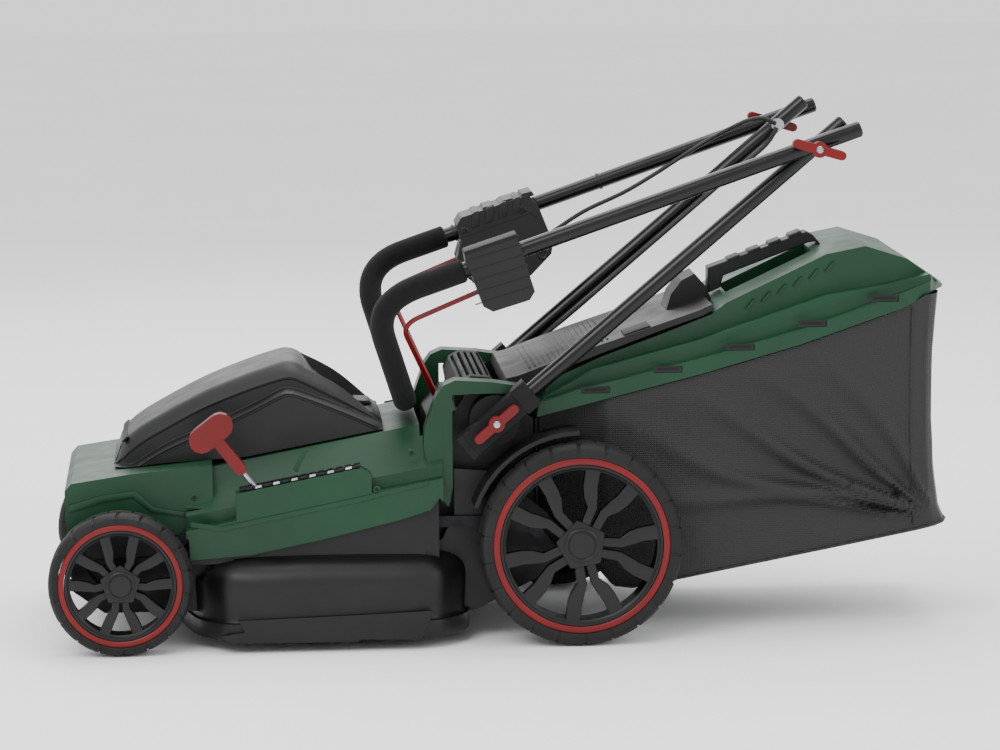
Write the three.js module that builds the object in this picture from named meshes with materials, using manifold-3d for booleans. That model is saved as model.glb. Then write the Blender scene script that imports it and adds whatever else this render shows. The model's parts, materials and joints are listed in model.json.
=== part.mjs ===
// Walk-behind rotary lawn mower with a grass bag and a folded push handle.
// Millimetres, +Z up, +X to the rear, +Y to the mower's right side, ground at Z = 0.
// Everything is drawn with X = 0 at the rear wheels' centre, and the whole group is then moved
// along X so that the origin is under the middle of the mower.
import * as THREE from 'three';
import { mergeVertices } from 'three/addons/utils/BufferGeometryUtils.js';
import Module from 'manifold-3d';

const wasm = await Module();
wasm.setup();

// ---- driving dimensions -------------------------------------------------------------------
const CENTRE_X = 85.14;           // moves the model so that its box is centred on the origin
const GAP = 0.3;                // running and touching clearance

const REAR = { x: 0, z: 120, radius: 120, width: 50, ringOuter: 104.5, ringWidth: 8 };
const FRONT = { x: -539.5, z: 84.4, radius: 84.4, width: 45, ringOuter: 73, ringWidth: 7 };
const TRACK_HALF = 215;         // wheel outer face from the middle plane
const HUB_BORE = 5.3;
const AXLE_R = 5;

// Height adjustment: lever, both axles and the link bar form equal parallel arms.
const CRANK = 34;               // wheel centre from the axle's pivot
const SWING = 36;               // half of the 72 degree swing
const ARM = 40;                 // link pin from each pivot
const LEVER_PIVOT = { x: -320, z: 112 };
const LEVER_TILT = 37.8;        // lever from the vertical at rest, leaning to the front

const DECK_HALF = 176;          // half width of the body between the wheels
const NOSE_HALF = 146;          // half width of the body beside the wheels
const DRUM = { x: -288, r: 200, top: 102 };
const WALL = 4;
const CLAMP = { x: -97, z: 262, r: 31 };      // pivot of the lower handle
const FOLD = { x: 281, z: 580 };              // pivot of the upper handle
const LOWER_Y = 165;
const UPPER_Y = 186;
const TUBE_R = 9.5;
const GRIP_R = 14;
const BAG_HALF = 150;
const FLAP_HINGE = { x: -66, z: 289 };

// ---- helpers ------------------------------------------------------------------------------
const rad = THREE.MathUtils.degToRad;
const xz = (x, z) => new THREE.Vector2(x, z);
const at = (x, y, z) => new THREE.Vector3(x, y, z);

/** Closed geometry as a solid that manifold can join and cut, turned right side out. */
function solid(shape) {
  if (!(shape instanceof THREE.BufferGeometry)) return shape;
  const g = shape.clone();
  g.deleteAttribute('normal');
  g.deleteAttribute('uv');
  const merged = mergeVertices(g, 1e-4);
  const index = Array.from(merged.index.array).map(Number);
  const pos = merged.attributes.position;
  const tris = [];
  let volume = 0;
  const [a, b, c] = [at(0, 0, 0), at(0, 0, 0), at(0, 0, 0)];
  for (let i = 0; i < index.length; i += 3) {
    const [p, q, r] = index.slice(i, i + 3);
    if (p === q || q === r || r === p) continue;
    a.fromBufferAttribute(pos, p);
    b.fromBufferAttribute(pos, q);
    c.fromBufferAttribute(pos, r);
    volume += a.dot(b.cross(c));
    tris.push([p, q, r]);
  }
  const order = volume < 0 ? tris.map(([p, q, r]) => [p, r, q]) : tris;
  return new wasm.Manifold(new wasm.Mesh({
    numProp: 3,
    vertProperties: Float32Array.from(pos.array),
    triVerts: Uint32Array.from(order.flat()),
  }));
}

const join = (...shapes) => shapes.map(solid).reduce((a, b) => a.add(b));
const cut = (body, ...tools) => tools.map(solid).reduce((a, b) => a.subtract(b), solid(body));
const common = (...shapes) => shapes.map(solid).reduce((a, b) => a.intersect(b));

const SLIVER = 1;               // mm3, the largest shaving that a cut may leave behind

/** The one body of a piece, without shavings thinner than a hair that a cut can leave. */
function mainBody(shape, name) {
  const bodies = solid(shape).decompose().sort((a, b) => b.volume() - a.volume());
  const loose = bodies.slice(1).filter((body) => Math.abs(body.volume()) > SLIVER);
  if (loose.length) {
    const sizes = loose.map((b) => `${b.volume().toFixed(0)} at ${JSON.stringify(b.boundingBox())}`);
    throw new Error(`${name} has loose bodies: ${sizes.join('; ')}`);
  }
  return bodies[0];
}

function geometryOf(shape, name) {
  const mesh = mainBody(shape, name).getMesh();
  const g = new THREE.BufferGeometry();
  g.setAttribute('position', new THREE.BufferAttribute(Float32Array.from(mesh.vertProperties), 3));
  g.setIndex(new THREE.BufferAttribute(Uint32Array.from(mesh.triVerts), 1));
  g.computeVertexNormals();
  return g;
}

const box = (x0, x1, y0, y1, z0, z1) => new THREE.BoxGeometry(x1 - x0, y1 - y0, z1 - z0)
  .translate((x0 + x1) / 2, (y0 + y1) / 2, (z0 + z1) / 2);

/** Cylinder along Y from y0 to y1, centred on (x, z). */
const rodY = (r, y0, y1, x, z, sides = 16) => new THREE.CylinderGeometry(r, r, y1 - y0, sides)
  .translate(x, (y0 + y1) / 2, z);

/** Cylinder along Z from z0 to z1, centred on (x, y). */
const rodZ = (r, z0, z1, x, y, sides = 24) => new THREE.CylinderGeometry(r, r, z1 - z0, sides)
  .rotateX(Math.PI / 2).translate(x, y, (z0 + z1) / 2);

/** Outline in X and Z, drawn through the whole stretch from y0 to y1. */
function prismY(points, y0, y1) {
  const shape = new THREE.Shape(points.map(([x, z]) => xz(x, z)));
  return new THREE.ExtrudeGeometry(shape, { depth: y1 - y0, bevelEnabled: false })
    .rotateX(Math.PI / 2).translate(0, y1, 0);
}

/** Outline in X and Y, drawn from z0 to z1. */
function prismZ(points, z0, z1) {
  const shape = new THREE.Shape(points.map(([x, y]) => xz(x, y)));
  return new THREE.ExtrudeGeometry(shape, { depth: z1 - z0, bevelEnabled: false })
    .translate(0, 0, z0);
}

/** Outline in Y and Z, drawn from x0 to x1. */
function prismX(points, x0, x1) {
  const shape = new THREE.Shape(points.map(([y, z]) => xz(y, z)));
  return new THREE.ExtrudeGeometry(shape, { depth: x1 - x0, bevelEnabled: false })
    .rotateX(Math.PI / 2).rotateZ(Math.PI / 2).translate(x0, 0, 0);
}

/** Flat bar with round ends between two points of a plane of constant Y. */
function barY(from, to, r, y0, y1, sides = 12) {
  const length = Math.hypot(to.x - from.x, to.z - from.z);
  const turn = Math.atan2(to.z - from.z, to.x - from.x);
  const middle = box(0, length, y0, y1, -r, r).rotateY(-turn).translate(from.x, 0, from.z);
  return join(middle, rodY(r, y0, y1, from.x, from.z, sides), rodY(r, y0, y1, to.x, to.z, sides));
}

/** Turned body about the Y axis from [radius, y] pairs that close on themselves or the axis. */
const turnedY = (profile, sides) => new THREE.LatheGeometry(profile.map(([r, y]) => xz(r, y)), sides);

/** Turned body about the Z axis. */
const turnedZ = (profile, sides, x = 0, y = 0) => turnedY(profile, sides)
  .rotateX(Math.PI / 2).translate(x, y, 0);

/** Path that a sweep follows station by station, however far apart the stations are. */
class Stations extends THREE.Curve {
  constructor(points) {
    super();
    this.points = points;
  }

  index(u) {
    return Math.round(u * (this.points.length - 1));
  }

  getPointAt(u, target = at(0, 0, 0)) {
    return target.copy(this.points[this.index(u)]);
  }

  getTangentAt(u, target = at(0, 0, 0)) {
    const i = this.index(u);
    const before = this.points[Math.max(i - 1, 0)];
    const after = this.points[Math.min(i + 1, this.points.length - 1)];
    return target.copy(after).sub(before).normalize();
  }
}

/** Stations along straight legs whose corners are rounded, each with its own reach. */
function bentStations(points, reaches, perBend = 5) {
  const stations = [points[0]];
  reaches.forEach((reach, i) => {
    const corner = points[i + 1];
    const before = points[i].clone().sub(corner).normalize();
    const after = points[i + 2].clone().sub(corner).normalize();
    const bend = new THREE.QuadraticBezierCurve3(
      corner.clone().addScaledVector(before, reach), corner, corner.clone().addScaledVector(after, reach));
    stations.push(...bend.getPoints(perBend));
  });
  stations.push(points[points.length - 1]);
  return stations;
}

/** Round bar of radius r through the stations. */
function sweep(stations, r, sides = 10) {
  const ring = Array.from({ length: sides }, (_, i) => {
    const a = (i / sides) * 2 * Math.PI;
    return xz(r * Math.cos(a), r * Math.sin(a));
  });
  return new THREE.ExtrudeGeometry(new THREE.Shape(ring), {
    steps: stations.length - 1, extrudePath: new Stations(stations), bevelEnabled: false,
  });
}

const material = (color, roughness, metalness = 0) => () => (
  new THREE.MeshStandardMaterial({ color, roughness, metalness }));
const green = material(0x2a6a4c, 0.45);
const black = material(0x222224, 0.55);
const charcoal = material(0x47484a, 0.55);
const red = material(0xb3202b, 0.4);
const steel = material(0xb9bcc0, 0.3, 1);
const blackPaint = material(0x111113, 0.2, 0.3);
const foamBlack = material(0x232323, 0.9);
const rubberBlack = material(0x2b2b2c, 0.85);
const cloth = material(0x1a1a1c, 0.95);

const mower = new THREE.Group();
mower.position.x = CENTRE_X;

function add(name, shape, look, parent = mower) {
  const mesh = new THREE.Mesh(geometryOf(shape, name), look());
  mesh.name = name;
  parent.add(mesh);
  return mesh;
}

// ---- wheels -------------------------------------------------------------------------------
// Each wheel is drawn about its own centre with the outer face towards -Y.
function wheel(label, end, side) {
  const { radius, width, ringOuter, ringWidth } = end;
  const w = width / 2;
  const small = radius < 100;
  const sides = small ? 26 : 30;
  const ringInner = ringOuter - ringWidth;
  const group = new THREE.Group();
  group.position.set(end.x, side * (TRACK_HALF - w), end.z);
  group.rotation.z = side > 0 ? Math.PI : 0;
  mower.add(group);

  const tyre = turnedY([
    [ringOuter, -w + 0.5], [radius - 6, -w], [radius, -w + 12], [radius, w - 12], [radius - 6, w],
    [ringOuter, w - 0.5], [ringOuter, -w + 0.5],
  ], sides);
  add(`tyre_${label}`, tyre, rubberBlack, group);

  const ring = turnedY([
    [ringInner, -w + 0.5], [ringOuter - GAP, -w + 0.5], [ringOuter - GAP, -w + 6], [ringInner, -w + 6],
    [ringInner, -w + 0.5],
  ], sides);
  add(`trim_ring_${label}`, ring, red, group);

  const barrelInner = ringInner - 5;
  const hubR = small ? 17 : 20;
  const barrel = turnedY([
    [barrelInner, -w + 2], [ringInner - GAP, -w + 2], [ringInner - GAP, -w + 6 + GAP],
    [ringOuter - GAP, -w + 6 + GAP], [ringOuter - GAP, w - 2], [barrelInner, w - 2],
    [barrelInner, -w + 2],
  ], sides);
  const hub = rodY(hubR, -w + 3, w - 6, 0, 0, 16);
  const spokes = [];
  for (let k = 0; k < 5; k += 1) {
    for (const lean of [-1, 1]) {
      const arm = spokeArm(hubR, barrelInner, lean, w);
      arm.rotateY(-rad(end.spokeTurn + 72 * k));
      spokes.push(arm);
    }
  }
  const bore = rodY(HUB_BORE, -w, w, 0, 0, 12);
  const capSeat = rodY(hubR - 3 + GAP, -w, -w + 9, 0, 0, 16);
  add(`rim_${label}`, cut(join(barrel, hub, ...spokes), bore, capSeat), charcoal, group);

  const cap = turnedY([
    [0, -w], [hubR - 6, -w + 0.6], [hubR - 3, -w + 2.5], [hubR - 3, -w + 8], [0, -w + 8],
  ], 16);
  add(`hub_cap_${label}`, cap, charcoal, group);
}

/** One arm of a spoke pair: beside its twin at the hub, then kinked away from it towards the rim. */
function spokeArm(hubR, rimR, lean, w) {
  const end = rimR + 2;
  const share = (rimR - hubR) / 100;
  const rows = [[hubR - 4, 1, 8], [hubR + 34 * share, 2.4, 11], [hubR + 56 * share, 10 * share + 3, 24 * share + 8],
    [end * 0.93, 30 * share, 52 * share]];
  const outline = [...rows.map(([r, near]) => [r, lean * near]), ...rows.map(([r, , far]) => [r, lean * far]).reverse()];
  return prismY(outline, -w + 6, -w + 18);
}

REAR.spokeTurn = 64;
FRONT.spokeTurn = 54;
wheel('rear_left', REAR, -1);
wheel('rear_right', REAR, 1);
wheel('front_left', FRONT, -1);
wheel('front_right', FRONT, 1);

// ---- height adjustment --------------------------------------------------------------------
const crankDown = { x: -CRANK * Math.cos(rad(SWING)), z: -CRANK * Math.sin(rad(SWING)) };
const armUp = { x: -ARM * Math.sin(rad(SWING)), z: ARM * Math.cos(rad(SWING)) };
const offset = (p, d) => ({ x: p.x + d.x, z: p.z + d.z });
const rearPivot = offset(REAR, crankDown);
const frontPivot = offset(FRONT, crankDown);
const LINK_Y = [-151, -147.3];
const CRANK_Y = 158;            // outer face of the crank plates
const STUB_END = TRACK_HALF - 9.5;

function axle(name, pivot, hubCentre) {
  const pieces = [rodY(AXLE_R, -CRANK_Y, CRANK_Y, pivot.x, pivot.z, 12)];
  for (const side of [-1, 1]) {
    const [y0, y1] = side < 0 ? [-CRANK_Y, -CRANK_Y + 6] : [CRANK_Y - 6, CRANK_Y];
    pieces.push(barY(pivot, hubCentre, 9, y0, y1));
    const [s0, s1] = side < 0 ? [-STUB_END, -CRANK_Y + 3] : [CRANK_Y - 3, STUB_END];
    pieces.push(rodY(AXLE_R, s0, s1, hubCentre.x, hubCentre.z, 12));
  }
  const pin = offset(pivot, armUp);
  pieces.push(barY(pivot, pin, 7, -CRANK_Y, -CRANK_Y + 6));
  pieces.push(rodY(3, -CRANK_Y + 3, LINK_Y[1], pin.x, pin.z, 12));
  add(name, join(...pieces), steel);
}
axle('rear_axle', rearPivot, REAR);
axle('front_axle', frontPivot, FRONT);

const leverPin = offset(LEVER_PIVOT, armUp);
const rearPin = offset(rearPivot, armUp);
const frontPin = offset(frontPivot, armUp);
const leverAlong = { x: -Math.sin(rad(LEVER_TILT)), z: Math.cos(rad(LEVER_TILT)) };
const leverPoint = (d) => ({ x: LEVER_PIVOT.x + d * leverAlong.x, z: LEVER_PIVOT.z + d * leverAlong.z });
const LEVER_Y = -161;

function heightLever() {
  const rodStart = leverPoint(7);
  const rodEnd = leverPoint(150);
  const rod = sweep([at(rodStart.x, LEVER_Y, rodStart.z), at(rodEnd.x, LEVER_Y, rodEnd.z)], 3);
  const lever = cut(
    join(
      rodY(9, -165.5, -153, LEVER_PIVOT.x, LEVER_PIVOT.z),
      barY(LEVER_PIVOT, leverPin, 6, -157, -153),
      rodY(3, -155.5, LINK_Y[1], leverPin.x, leverPin.z, 12),
      rod,
    ),
    rodY(AXLE_R + GAP, LEVER_Y - 6, -150, LEVER_PIVOT.x, LEVER_PIVOT.z, 16),
  );
  add('height_lever', lever, steel);

  // T-shaped grip: a socket on the rod, with two round lobes across it.
  const socketFrom = leverPoint(126);
  const socketTo = leverPoint(168);
  const across = { x: leverAlong.z, z: -leverAlong.x };
  const head = leverPoint(181);
  const lobe = (d) => ({ x: head.x + d * across.x, z: head.z + d * across.z });
  const grip = cut(
    join(
      barY(socketFrom, socketTo, 7, LEVER_Y - 7, LEVER_Y + 7),
      barY(lobe(-14), lobe(14), 15, LEVER_Y - 8, LEVER_Y + 8),
    ),
    sweep([
      at(leverPoint(100).x, LEVER_Y, leverPoint(100).z), at(leverPoint(150.3).x, LEVER_Y, leverPoint(150.3).z),
    ], 3 + GAP),
  );
  add('height_lever_grip', grip, red);
}
heightLever();

function linkBar() {
  const stations = [frontPin, { x: -497, z: 100 }, { x: -446, z: 144 }, leverPin, { x: -120, z: 141 }, rearPin];
  const pieces = [];
  for (let i = 1; i < stations.length; i += 1) {
    pieces.push(barY(stations[i - 1], stations[i], 6.5, LINK_Y[0], LINK_Y[1]));
  }
  const holes = [frontPin, leverPin, rearPin].map((p) => rodY(3 + GAP, -154, -144, p.x, p.z, 12));
  add('height_link', cut(join(...pieces), ...holes), steel);
}
linkBar();

// ---- deck ---------------------------------------------------------------------------------
const BRACKET = [122, 152];     // handle brackets, inner and outer face
const TUNNEL_HALF = 118;
const PANEL = [142, NOSE_HALF]; // side panels that carry the axles
const MOTOR = { x: -300, r: 52 };
const both = (make) => [make(-1), make(1)];
const spanY = (side, [inner, outer]) => (side < 0 ? [-outer, -inner] : [inner, outer]);

/** Bulged outline of the cutting chamber in plan, inset by d. */
const chamberPlan = (d) => {
  const [x0, x1, y] = [-462 + d, -134 - d, DRUM.r - d];
  const c = 62 - 0.4 * d;
  const half = [[x0, -y + 2 * c], [x0 + 0.3 * c, -y + 0.7 * c], [x0 + 0.9 * c, -y], [x1 - 0.7 * c, -y],
    [x1 - 0.1 * c, -y + 0.7 * c], [x1, -y + 2 * c]];
  return [...half, ...half.map(([x, w]) => [x, -w]).reverse()];
};
const chamber = (d, z0, z1) => prismZ(chamberPlan(d), z0, z1);

/** Side outline of the discharge tunnel, from the chamber up to the bag's mouth. */
const tunnelOuter = [[-190, 16], [-117, 30], [-95, 42], [-49, 128], [-49, 258], [-62, 268], [-150, 270],
  [-170, 246], [-190, 112]];
const tunnelInner = [[-230, 5], [-190, 5], [-119, 35], [-99, 46], [-54, 131], [-40, 131], [-40, 254],
  [-64, 263], [-147, 265], [-165, 244], [-184, 106], [-184, 96], [-230, 96]];

/** Way that the link bar needs along the left side as it swings. */
const linkWay = prismY([[-610, 84], [-434, 84], [-378, 129], [-340, 130], [-60, 124], [20, 118], [20, 150],
  [-60, 156], [-130, 157], [-470, 164], [-500, 118], [-610, 118]], LINK_Y[0] - 2, LINK_Y[1] + 1.1);

function mudguard(side) {
  const arc = [];
  const steps = 10;
  for (let i = 0; i <= steps; i += 1) arc.push(rad(90 + (70 * i) / steps));
  const outer = arc.map((a) => [133 * Math.cos(a), REAR.z + 133 * Math.sin(a)]);
  const inner = arc.map((a) => [128 * Math.cos(a), REAR.z + 128 * Math.sin(a)]).reverse();
  return prismY([...outer, ...inner], ...spanY(side, [PANEL[0], 194]));
}

function deckShell() {
  const noseOutline = [[-596, 66], [-600, 90], [-598, 131], [-400, 131], [-400, 40], [-560, 40]];
  const noseInner = [[-590, 36], [-594, 92], [-594, 127], [-466, 127], [-466, 60], [-440, 60], [-440, 30]];
  const shell = cut(
    join(
      prismY(noseOutline, -NOSE_HALF, NOSE_HALF),
      chamber(0, 14, 84), chamber(7, 83, 96), chamber(20, 95, DRUM.top),
      chamber(-5, 14, 34),
      prismZ([[-457, -170], [-165, -170], [-165, 170], [-457, 170]], 100, 172),
      prismY(tunnelOuter, -TUNNEL_HALF - 3, TUNNEL_HALF + 3),
    ),
    chamber(5, 0, 80), chamber(16, 79, 96),
    prismY(noseInner, -NOSE_HALF + WALL, NOSE_HALF - WALL),
    box(-453, -188, -166, 166, DRUM.top, 200),
    box(-188.5, -169, -166, -TUNNEL_HALF - 3, DRUM.top, 200),
    box(-188.5, -169, TUNNEL_HALF + 3, 166, DRUM.top, 200),
    box(-188, -175, -TUNNEL_HALF - 3, TUNNEL_HALF + 3, 110, 200),
    prismY(tunnelInner, -TUNNEL_HALF, TUNNEL_HALF),
    prismY([[-470, 116], [-387, 121], [-305, 138], [-211, 160], [-175, 171], [-150, 176], [-150, 210],
      [-470, 210]], -190, -TUNNEL_HALF - 3.5),
    prismY([[-470, 116], [-387, 121], [-305, 138], [-211, 160], [-175, 171], [-150, 176], [-150, 210],
      [-470, 210]], TUNNEL_HALF + 3.5, 190),
    box(-470, -440, -190, 190, 131, 220), box(-174, -164, -166, 166, 157, 200),
    rodZ(8, 90, 110, MOTOR.x, 0),
  );
  const sidePanel = [[-200, 60], [-120, 34], [-14, 88], [-14, 112], [-36, 150], [-100, 200], [-145.5, 204],
    [-145.5, 150], [-160, 120], [-200, 98]];
  const bossWall = [[-146, 180], [-60, 180], [-60, 262], [-80, 292], [-128, 292], [-146, 262]];
  const rear = [-1, 1].flatMap((side) => [
    prismY(sidePanel, ...spanY(side, PANEL)),
    mudguard(side),
    prismY(bossWall, ...spanY(side, [TUNNEL_HALF, BRACKET[0] + 2])),
    rodY(CLAMP.r - 1.5, ...spanY(side, [TUNNEL_HALF, BRACKET[1] + 1]), CLAMP.x, CLAMP.z, 24),
    prismY([[-145.5, 170], [-145.5, 182], [-60, 182], [-60, 172]], ...spanY(side, [TUNNEL_HALF, NOSE_HALF])),
  ]);
  const body = cut(
    join(shell, ...rear),
    linkWay,
    rodY(AXLE_R + GAP, -160, 160, rearPivot.x, rearPivot.z, 16),
    rodY(AXLE_R + GAP, -160, 160, frontPivot.x, frontPivot.z, 16),
    rodY(3 + GAP, -160, -130, CLAMP.x, CLAMP.z, 12), rodY(3 + GAP, 130, 160, CLAMP.x, CLAMP.z, 12),
    prismY(tunnelInner, -TUNNEL_HALF, TUNNEL_HALF),
    chamber(5, 0, 80),
    rodY(4.3, -BRACKET[0], BRACKET[0], FLAP_HINGE.x, FLAP_HINGE.z - 14, 12),
  );
  const leverStud = rodY(AXLE_R, -168, -154, LEVER_PIVOT.x, LEVER_PIVOT.z, 16);
  add('deck_shell', join(body, leverStud), black);
}
deckShell();

// ---- top cover with the two handle brackets -------------------------------------------------
const COVER_SLOPE = 10.6;
/** Cross-section of the cover, inset by d, swept along the slope of its shoulder line. */
function coverSection(d, low) {
  const half = [[DECK_HALF - d, low], [DECK_HALF - d, -d], [158 - d, -d], [158 - d, 14 - d],
    [108 - 0.6 * d, 58 - d]];
  const ring = [...half, ...half.map(([y, v]) => [-y, v]).reverse()];
  return prismX(ring, -60 + 2 * d, 272 - d).rotateY(-rad(COVER_SLOPE)).translate(-420, 0, 149);
}
const noseTop = (d) => prismY([[-602 + d, 100], [-604 + d, 186 - d], [-596 + d, 195 - d], [-527, 205 - d],
  [-430, 214 - d], [-430, 100]], -NOSE_HALF + d, NOSE_HALF - d);
const leverBox = (d) => prismY([[-403 + d, 120], [-403 + d, 184 - d], [-256 - d, 211.5 - d], [-244 - d, 204 - d],
  [-244 - d, 140]], -DECK_HALF + d, -150 - d);

function bracketArch(side) {
  const outline = [[-166, 150], [-181, 232], [-180, 252], [-165, 293], [-157, 304], [-143, 310], [-100, 307],
    [-61, 301], [-61, 293], [-128, 293.5], [-147, 264], [-147, 182], [-152, 160]];
  return prismY(outline, ...spanY(side, BRACKET));
}

function topCover() {
  const outer = join(
    common(coverSection(0, -90), box(-462, -160, -200, 200, 80, 400)),
    noseTop(0), leverBox(0), bracketArch(-1), bracketArch(1),
  );
  const below = prismY([[-700, 0], [-700, 131.4], [-459, 131.4], [-458, 106], [-387, 111], [-305, 127],
    [-211, 149], [-175, 160], [-164, 174], [-146, 150], [-100, 150], [-100, 0]], -200, 200);
  const inside = join(
    common(coverSection(3.5, -100), box(-458.5, -163.5, -200, 200, 80, 400)),
    noseTop(3.5), leverBox(3.5),
  );
  const archRoot = both((side) => box(-170, -150, ...spanY(side, [BRACKET[0], BRACKET[1]]), 165, 260));
  const slot = prismY([[-392, 160], [-392, 230], [-250, 230], [-250, 160]], LEVER_Y - 5, LEVER_Y + 5);
  const cover = cut(
    join(cut(outer, inside), ...archRoot),
    below, slot, linkWay,
    rodZ(66, 150, 300, MOTOR.x, 0),
    box(-184, -140, -TUNNEL_HALF - 3.4, TUNNEL_HALF + 3.4, 100, 274),
    box(-172, -140, -BRACKET[0] - 3, BRACKET[0] + 3, 150, 200),
    box(-146.9, -60, -160, 160, 150, 292.6),
  );
  add('top_cover', cover, green);
}
topCover();

// Notched strip that the lever clicks into, along the top of the lever box.
function leverGate() {
  const strip = prismY([[-399, 186.5], [-399, 189], [-258, 213], [-258, 212]], LEVER_Y - 9, LEVER_Y + 9);
  const way = box(-389, -254, LEVER_Y - 4, LEVER_Y + 4, 150, 240);
  const notches = Array.from({ length: 6 }, (_, i) => {
    const x = -382 + i * 24;
    return box(x - 5, x + 5, LEVER_Y + 3, LEVER_Y + 6.5, 150, 240);
  });
  add('lever_gate', cut(strip, way, ...notches), black);
}
leverGate();

// ---- hood, motor and blade ------------------------------------------------------------------
const hoodTopLine = [[-547, 192], [-538, 226], [-532, 238], [-514, 252], [-490, 266], [-442, 291], [-395, 310],
  [-335, 327], [-275, 296], [-227, 252]];
const hoodLedge = [[-533, 196], [-525, 204], [-485, 230], [-437, 251], [-384, 275], [-336, 296], [-277, 274],
  [-227, 250]];
/** Lines on which the hood stands: a little above the cover's sloping top. */
const hoodFoot = [[-227, 246.5], [-325, 228.5], [-391, 216.5], [-486, 211], [-537, 206]];
const inset = (line, d) => line.map(([x, z]) => [x + (x < -400 ? d : -d), z - d]);

function motorHood() {
  const upper = prismY([...hoodTopLine, ...hoodFoot], -84, 84);
  const lower = prismY([...hoodLedge, ...hoodFoot.slice(0, -1)], -102, 102);
  const foot = prismY([[-547, 196], [-545, 212], [-520, 218], [-520, 209.5], [-540, 207.6]], -84, 84);
  const upperIn = prismY([...inset(hoodTopLine, 4).slice(1), ...hoodFoot.map(([x, z]) => [x, z - 20])], -80, 80);
  const lowerIn = prismY([...inset(hoodLedge, 4).slice(1), ...hoodFoot.map(([x, z]) => [x, z - 20])], -98, 98);
  const fork = prismY([[-286, 340], [-300, 300], [-262, 268], [-200, 268], [-200, 340]], -66, 66);
  const forkFloor = prismY([[-304, 304], [-300, 296], [-262, 264], [-231, 264], [-231, 268.5], [-263, 268.5]],
    -66.5, 66.5);
  const base = prismY([...hoodFoot, [-537, 150], [-227, 150]], -150, 150);
  const floorLine = prismY([[-227, 246.5], [-227, 100], [-620, 100], [-620, 206.5], [-527, 205.6],
    [-486, 211.5], [-391, 217], [-325, 229]], -150, 150);
  add('motor_hood', cut(join(cut(join(upper, lower, foot), upperIn, lowerIn, fork), forkFloor), base, floorLine),
    charcoal);
}
motorHood();

function motor() {
  const can = join(
    rodZ(MOTOR.r, 104.4, 250, MOTOR.x, 0), rodZ(40, 249, 262, MOTOR.x, 0), rodZ(60, 104.4, 110, MOTOR.x, 0),
  );
  add('motor', cut(can, rodZ(6 + GAP, 90, 241, MOTOR.x, 0, 16)), steel);
  add('motor_shaft', join(rodZ(6, 45.6, 240, MOTOR.x, 0, 16), rodZ(4, 25, 46, MOTOR.x, 0, 12)), steel);
  const holder = turnedZ([[4.3, 36], [24, 36], [24, 42], [15, 50], [15, 60], [6.3, 60], [6.3, 45.2], [4.3, 44.7],
    [4.3, 36]], 20, MOTOR.x);
  add('blade_holder', holder, black);
  const flat = box(MOTOR.x - 165, MOTOR.x + 165, -24, 24, 32.3, 35.7);
  const wings = both((s) => {
    const x = MOTOR.x + s * 150;
    return prismX(s < 0 ? [[8, 32.3], [24, 32.3], [27, 46], [24, 47]] : [[-24, 32.3], [-8, 32.3], [-24, 47], [-27, 46]],
      x - 15, x + 15);
  });
  add('blade', cut(join(flat, ...wings), rodZ(4.3, 20, 50, MOTOR.x, 0, 12)), steel);
  const bolt = cut(rodZ(11, 21, 32, MOTOR.x, 0, 6), rodZ(4.3, 24.7, 60, MOTOR.x, 0, 12));
  add('blade_bolt', bolt, steel);
}
motor();

function bracketBridge() {
  const outline = [[-140, 271], [-143, 290], [-137, 303], [-122, 310], [-100, 308], [-92, 296], [-92, 271]];
  const body = prismY(outline, -TUNNEL_HALF + GAP, TUNNEL_HALF - GAP);
  const grooves = Array.from({ length: 5 }, (_, i) => box(-134 + i * 8, -131 + i * 8, -100, 100, 300, 320));
  add('bracket_bridge', cut(body, ...grooves), charcoal);
}
bracketBridge();

// Clamps that hold the two axles in the deck.
function axleClamp(name, pivot) {
  const plate = box(pivot.x - 14, pivot.x + 14, -NOSE_HALF + 6, NOSE_HALF - 6, pivot.z - 9, pivot.z - 0.5);
  add(name, cut(plate, rodY(AXLE_R + GAP, -170, 170, pivot.x, pivot.z, 16)), black);
}
axleClamp('axle_clamp_front', frontPivot);
axleClamp('axle_clamp_rear', rearPivot);

// ---- rear flap ------------------------------------------------------------------------------
function rearFlap() {
  const half = 116;
  const plate = prismY([[-80, 287], [-84, 296], [-80, 306], [-66, 309], [8, 336], [108, 369], [150, 383], [166, 390],
    [168, 384], [156, 377], [108, 361], [34, 334], [-12, 316], [-58, 298], [-64, 286]], -half, half);
  const grip = prismY([[120, 372], [126, 392], [139, 409], [155, 417], [168, 402], [175, 386], [168, 381]], -30, 30);
  const hinge = rodY(9, -half, half, FLAP_HINGE.x, FLAP_HINGE.z + 6, 16);
  const pinWay = rodY(4 + GAP, -200, 200, FLAP_HINGE.x, FLAP_HINGE.z + 6, 12);
  const lidWay = prismY([[90, 340], [118, 371.5], [168, 382], [200, 380], [200, 340]], -31, 31);
  add('rear_flap', join(cut(join(plate, hinge), pinWay), cut(grip, lidWay)), charcoal);
  add('flap_pin', rodY(4, -BRACKET[0] + 3, BRACKET[0] - 3, FLAP_HINGE.x, FLAP_HINGE.z + 6, 12), steel);
}
rearFlap();

// ---- grass bag ------------------------------------------------------------------------------
const lidRim = [[-47, 264], [147, 311], [266, 344], [385, 384], [425, 402]];
const rimTop = [[424, 416], [383, 401], [266, 362], [147, 329], [0, 294], [-44, 280]];
const lidMid = [[436, 404], [424, 424], [383, 414], [300, 400], [147, 349], [20, 316], [-38, 284]];
const lidCrown = [[448, 398], [436, 414], [400, 440], [350, 456], [303, 447], [183, 391], [166, 378], [108, 356],
  [34, 329.5], [-8, 311], [-34, 296]];

const lowered = (line, d) => line.map(([x, z]) => [x, z - d]);

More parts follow.
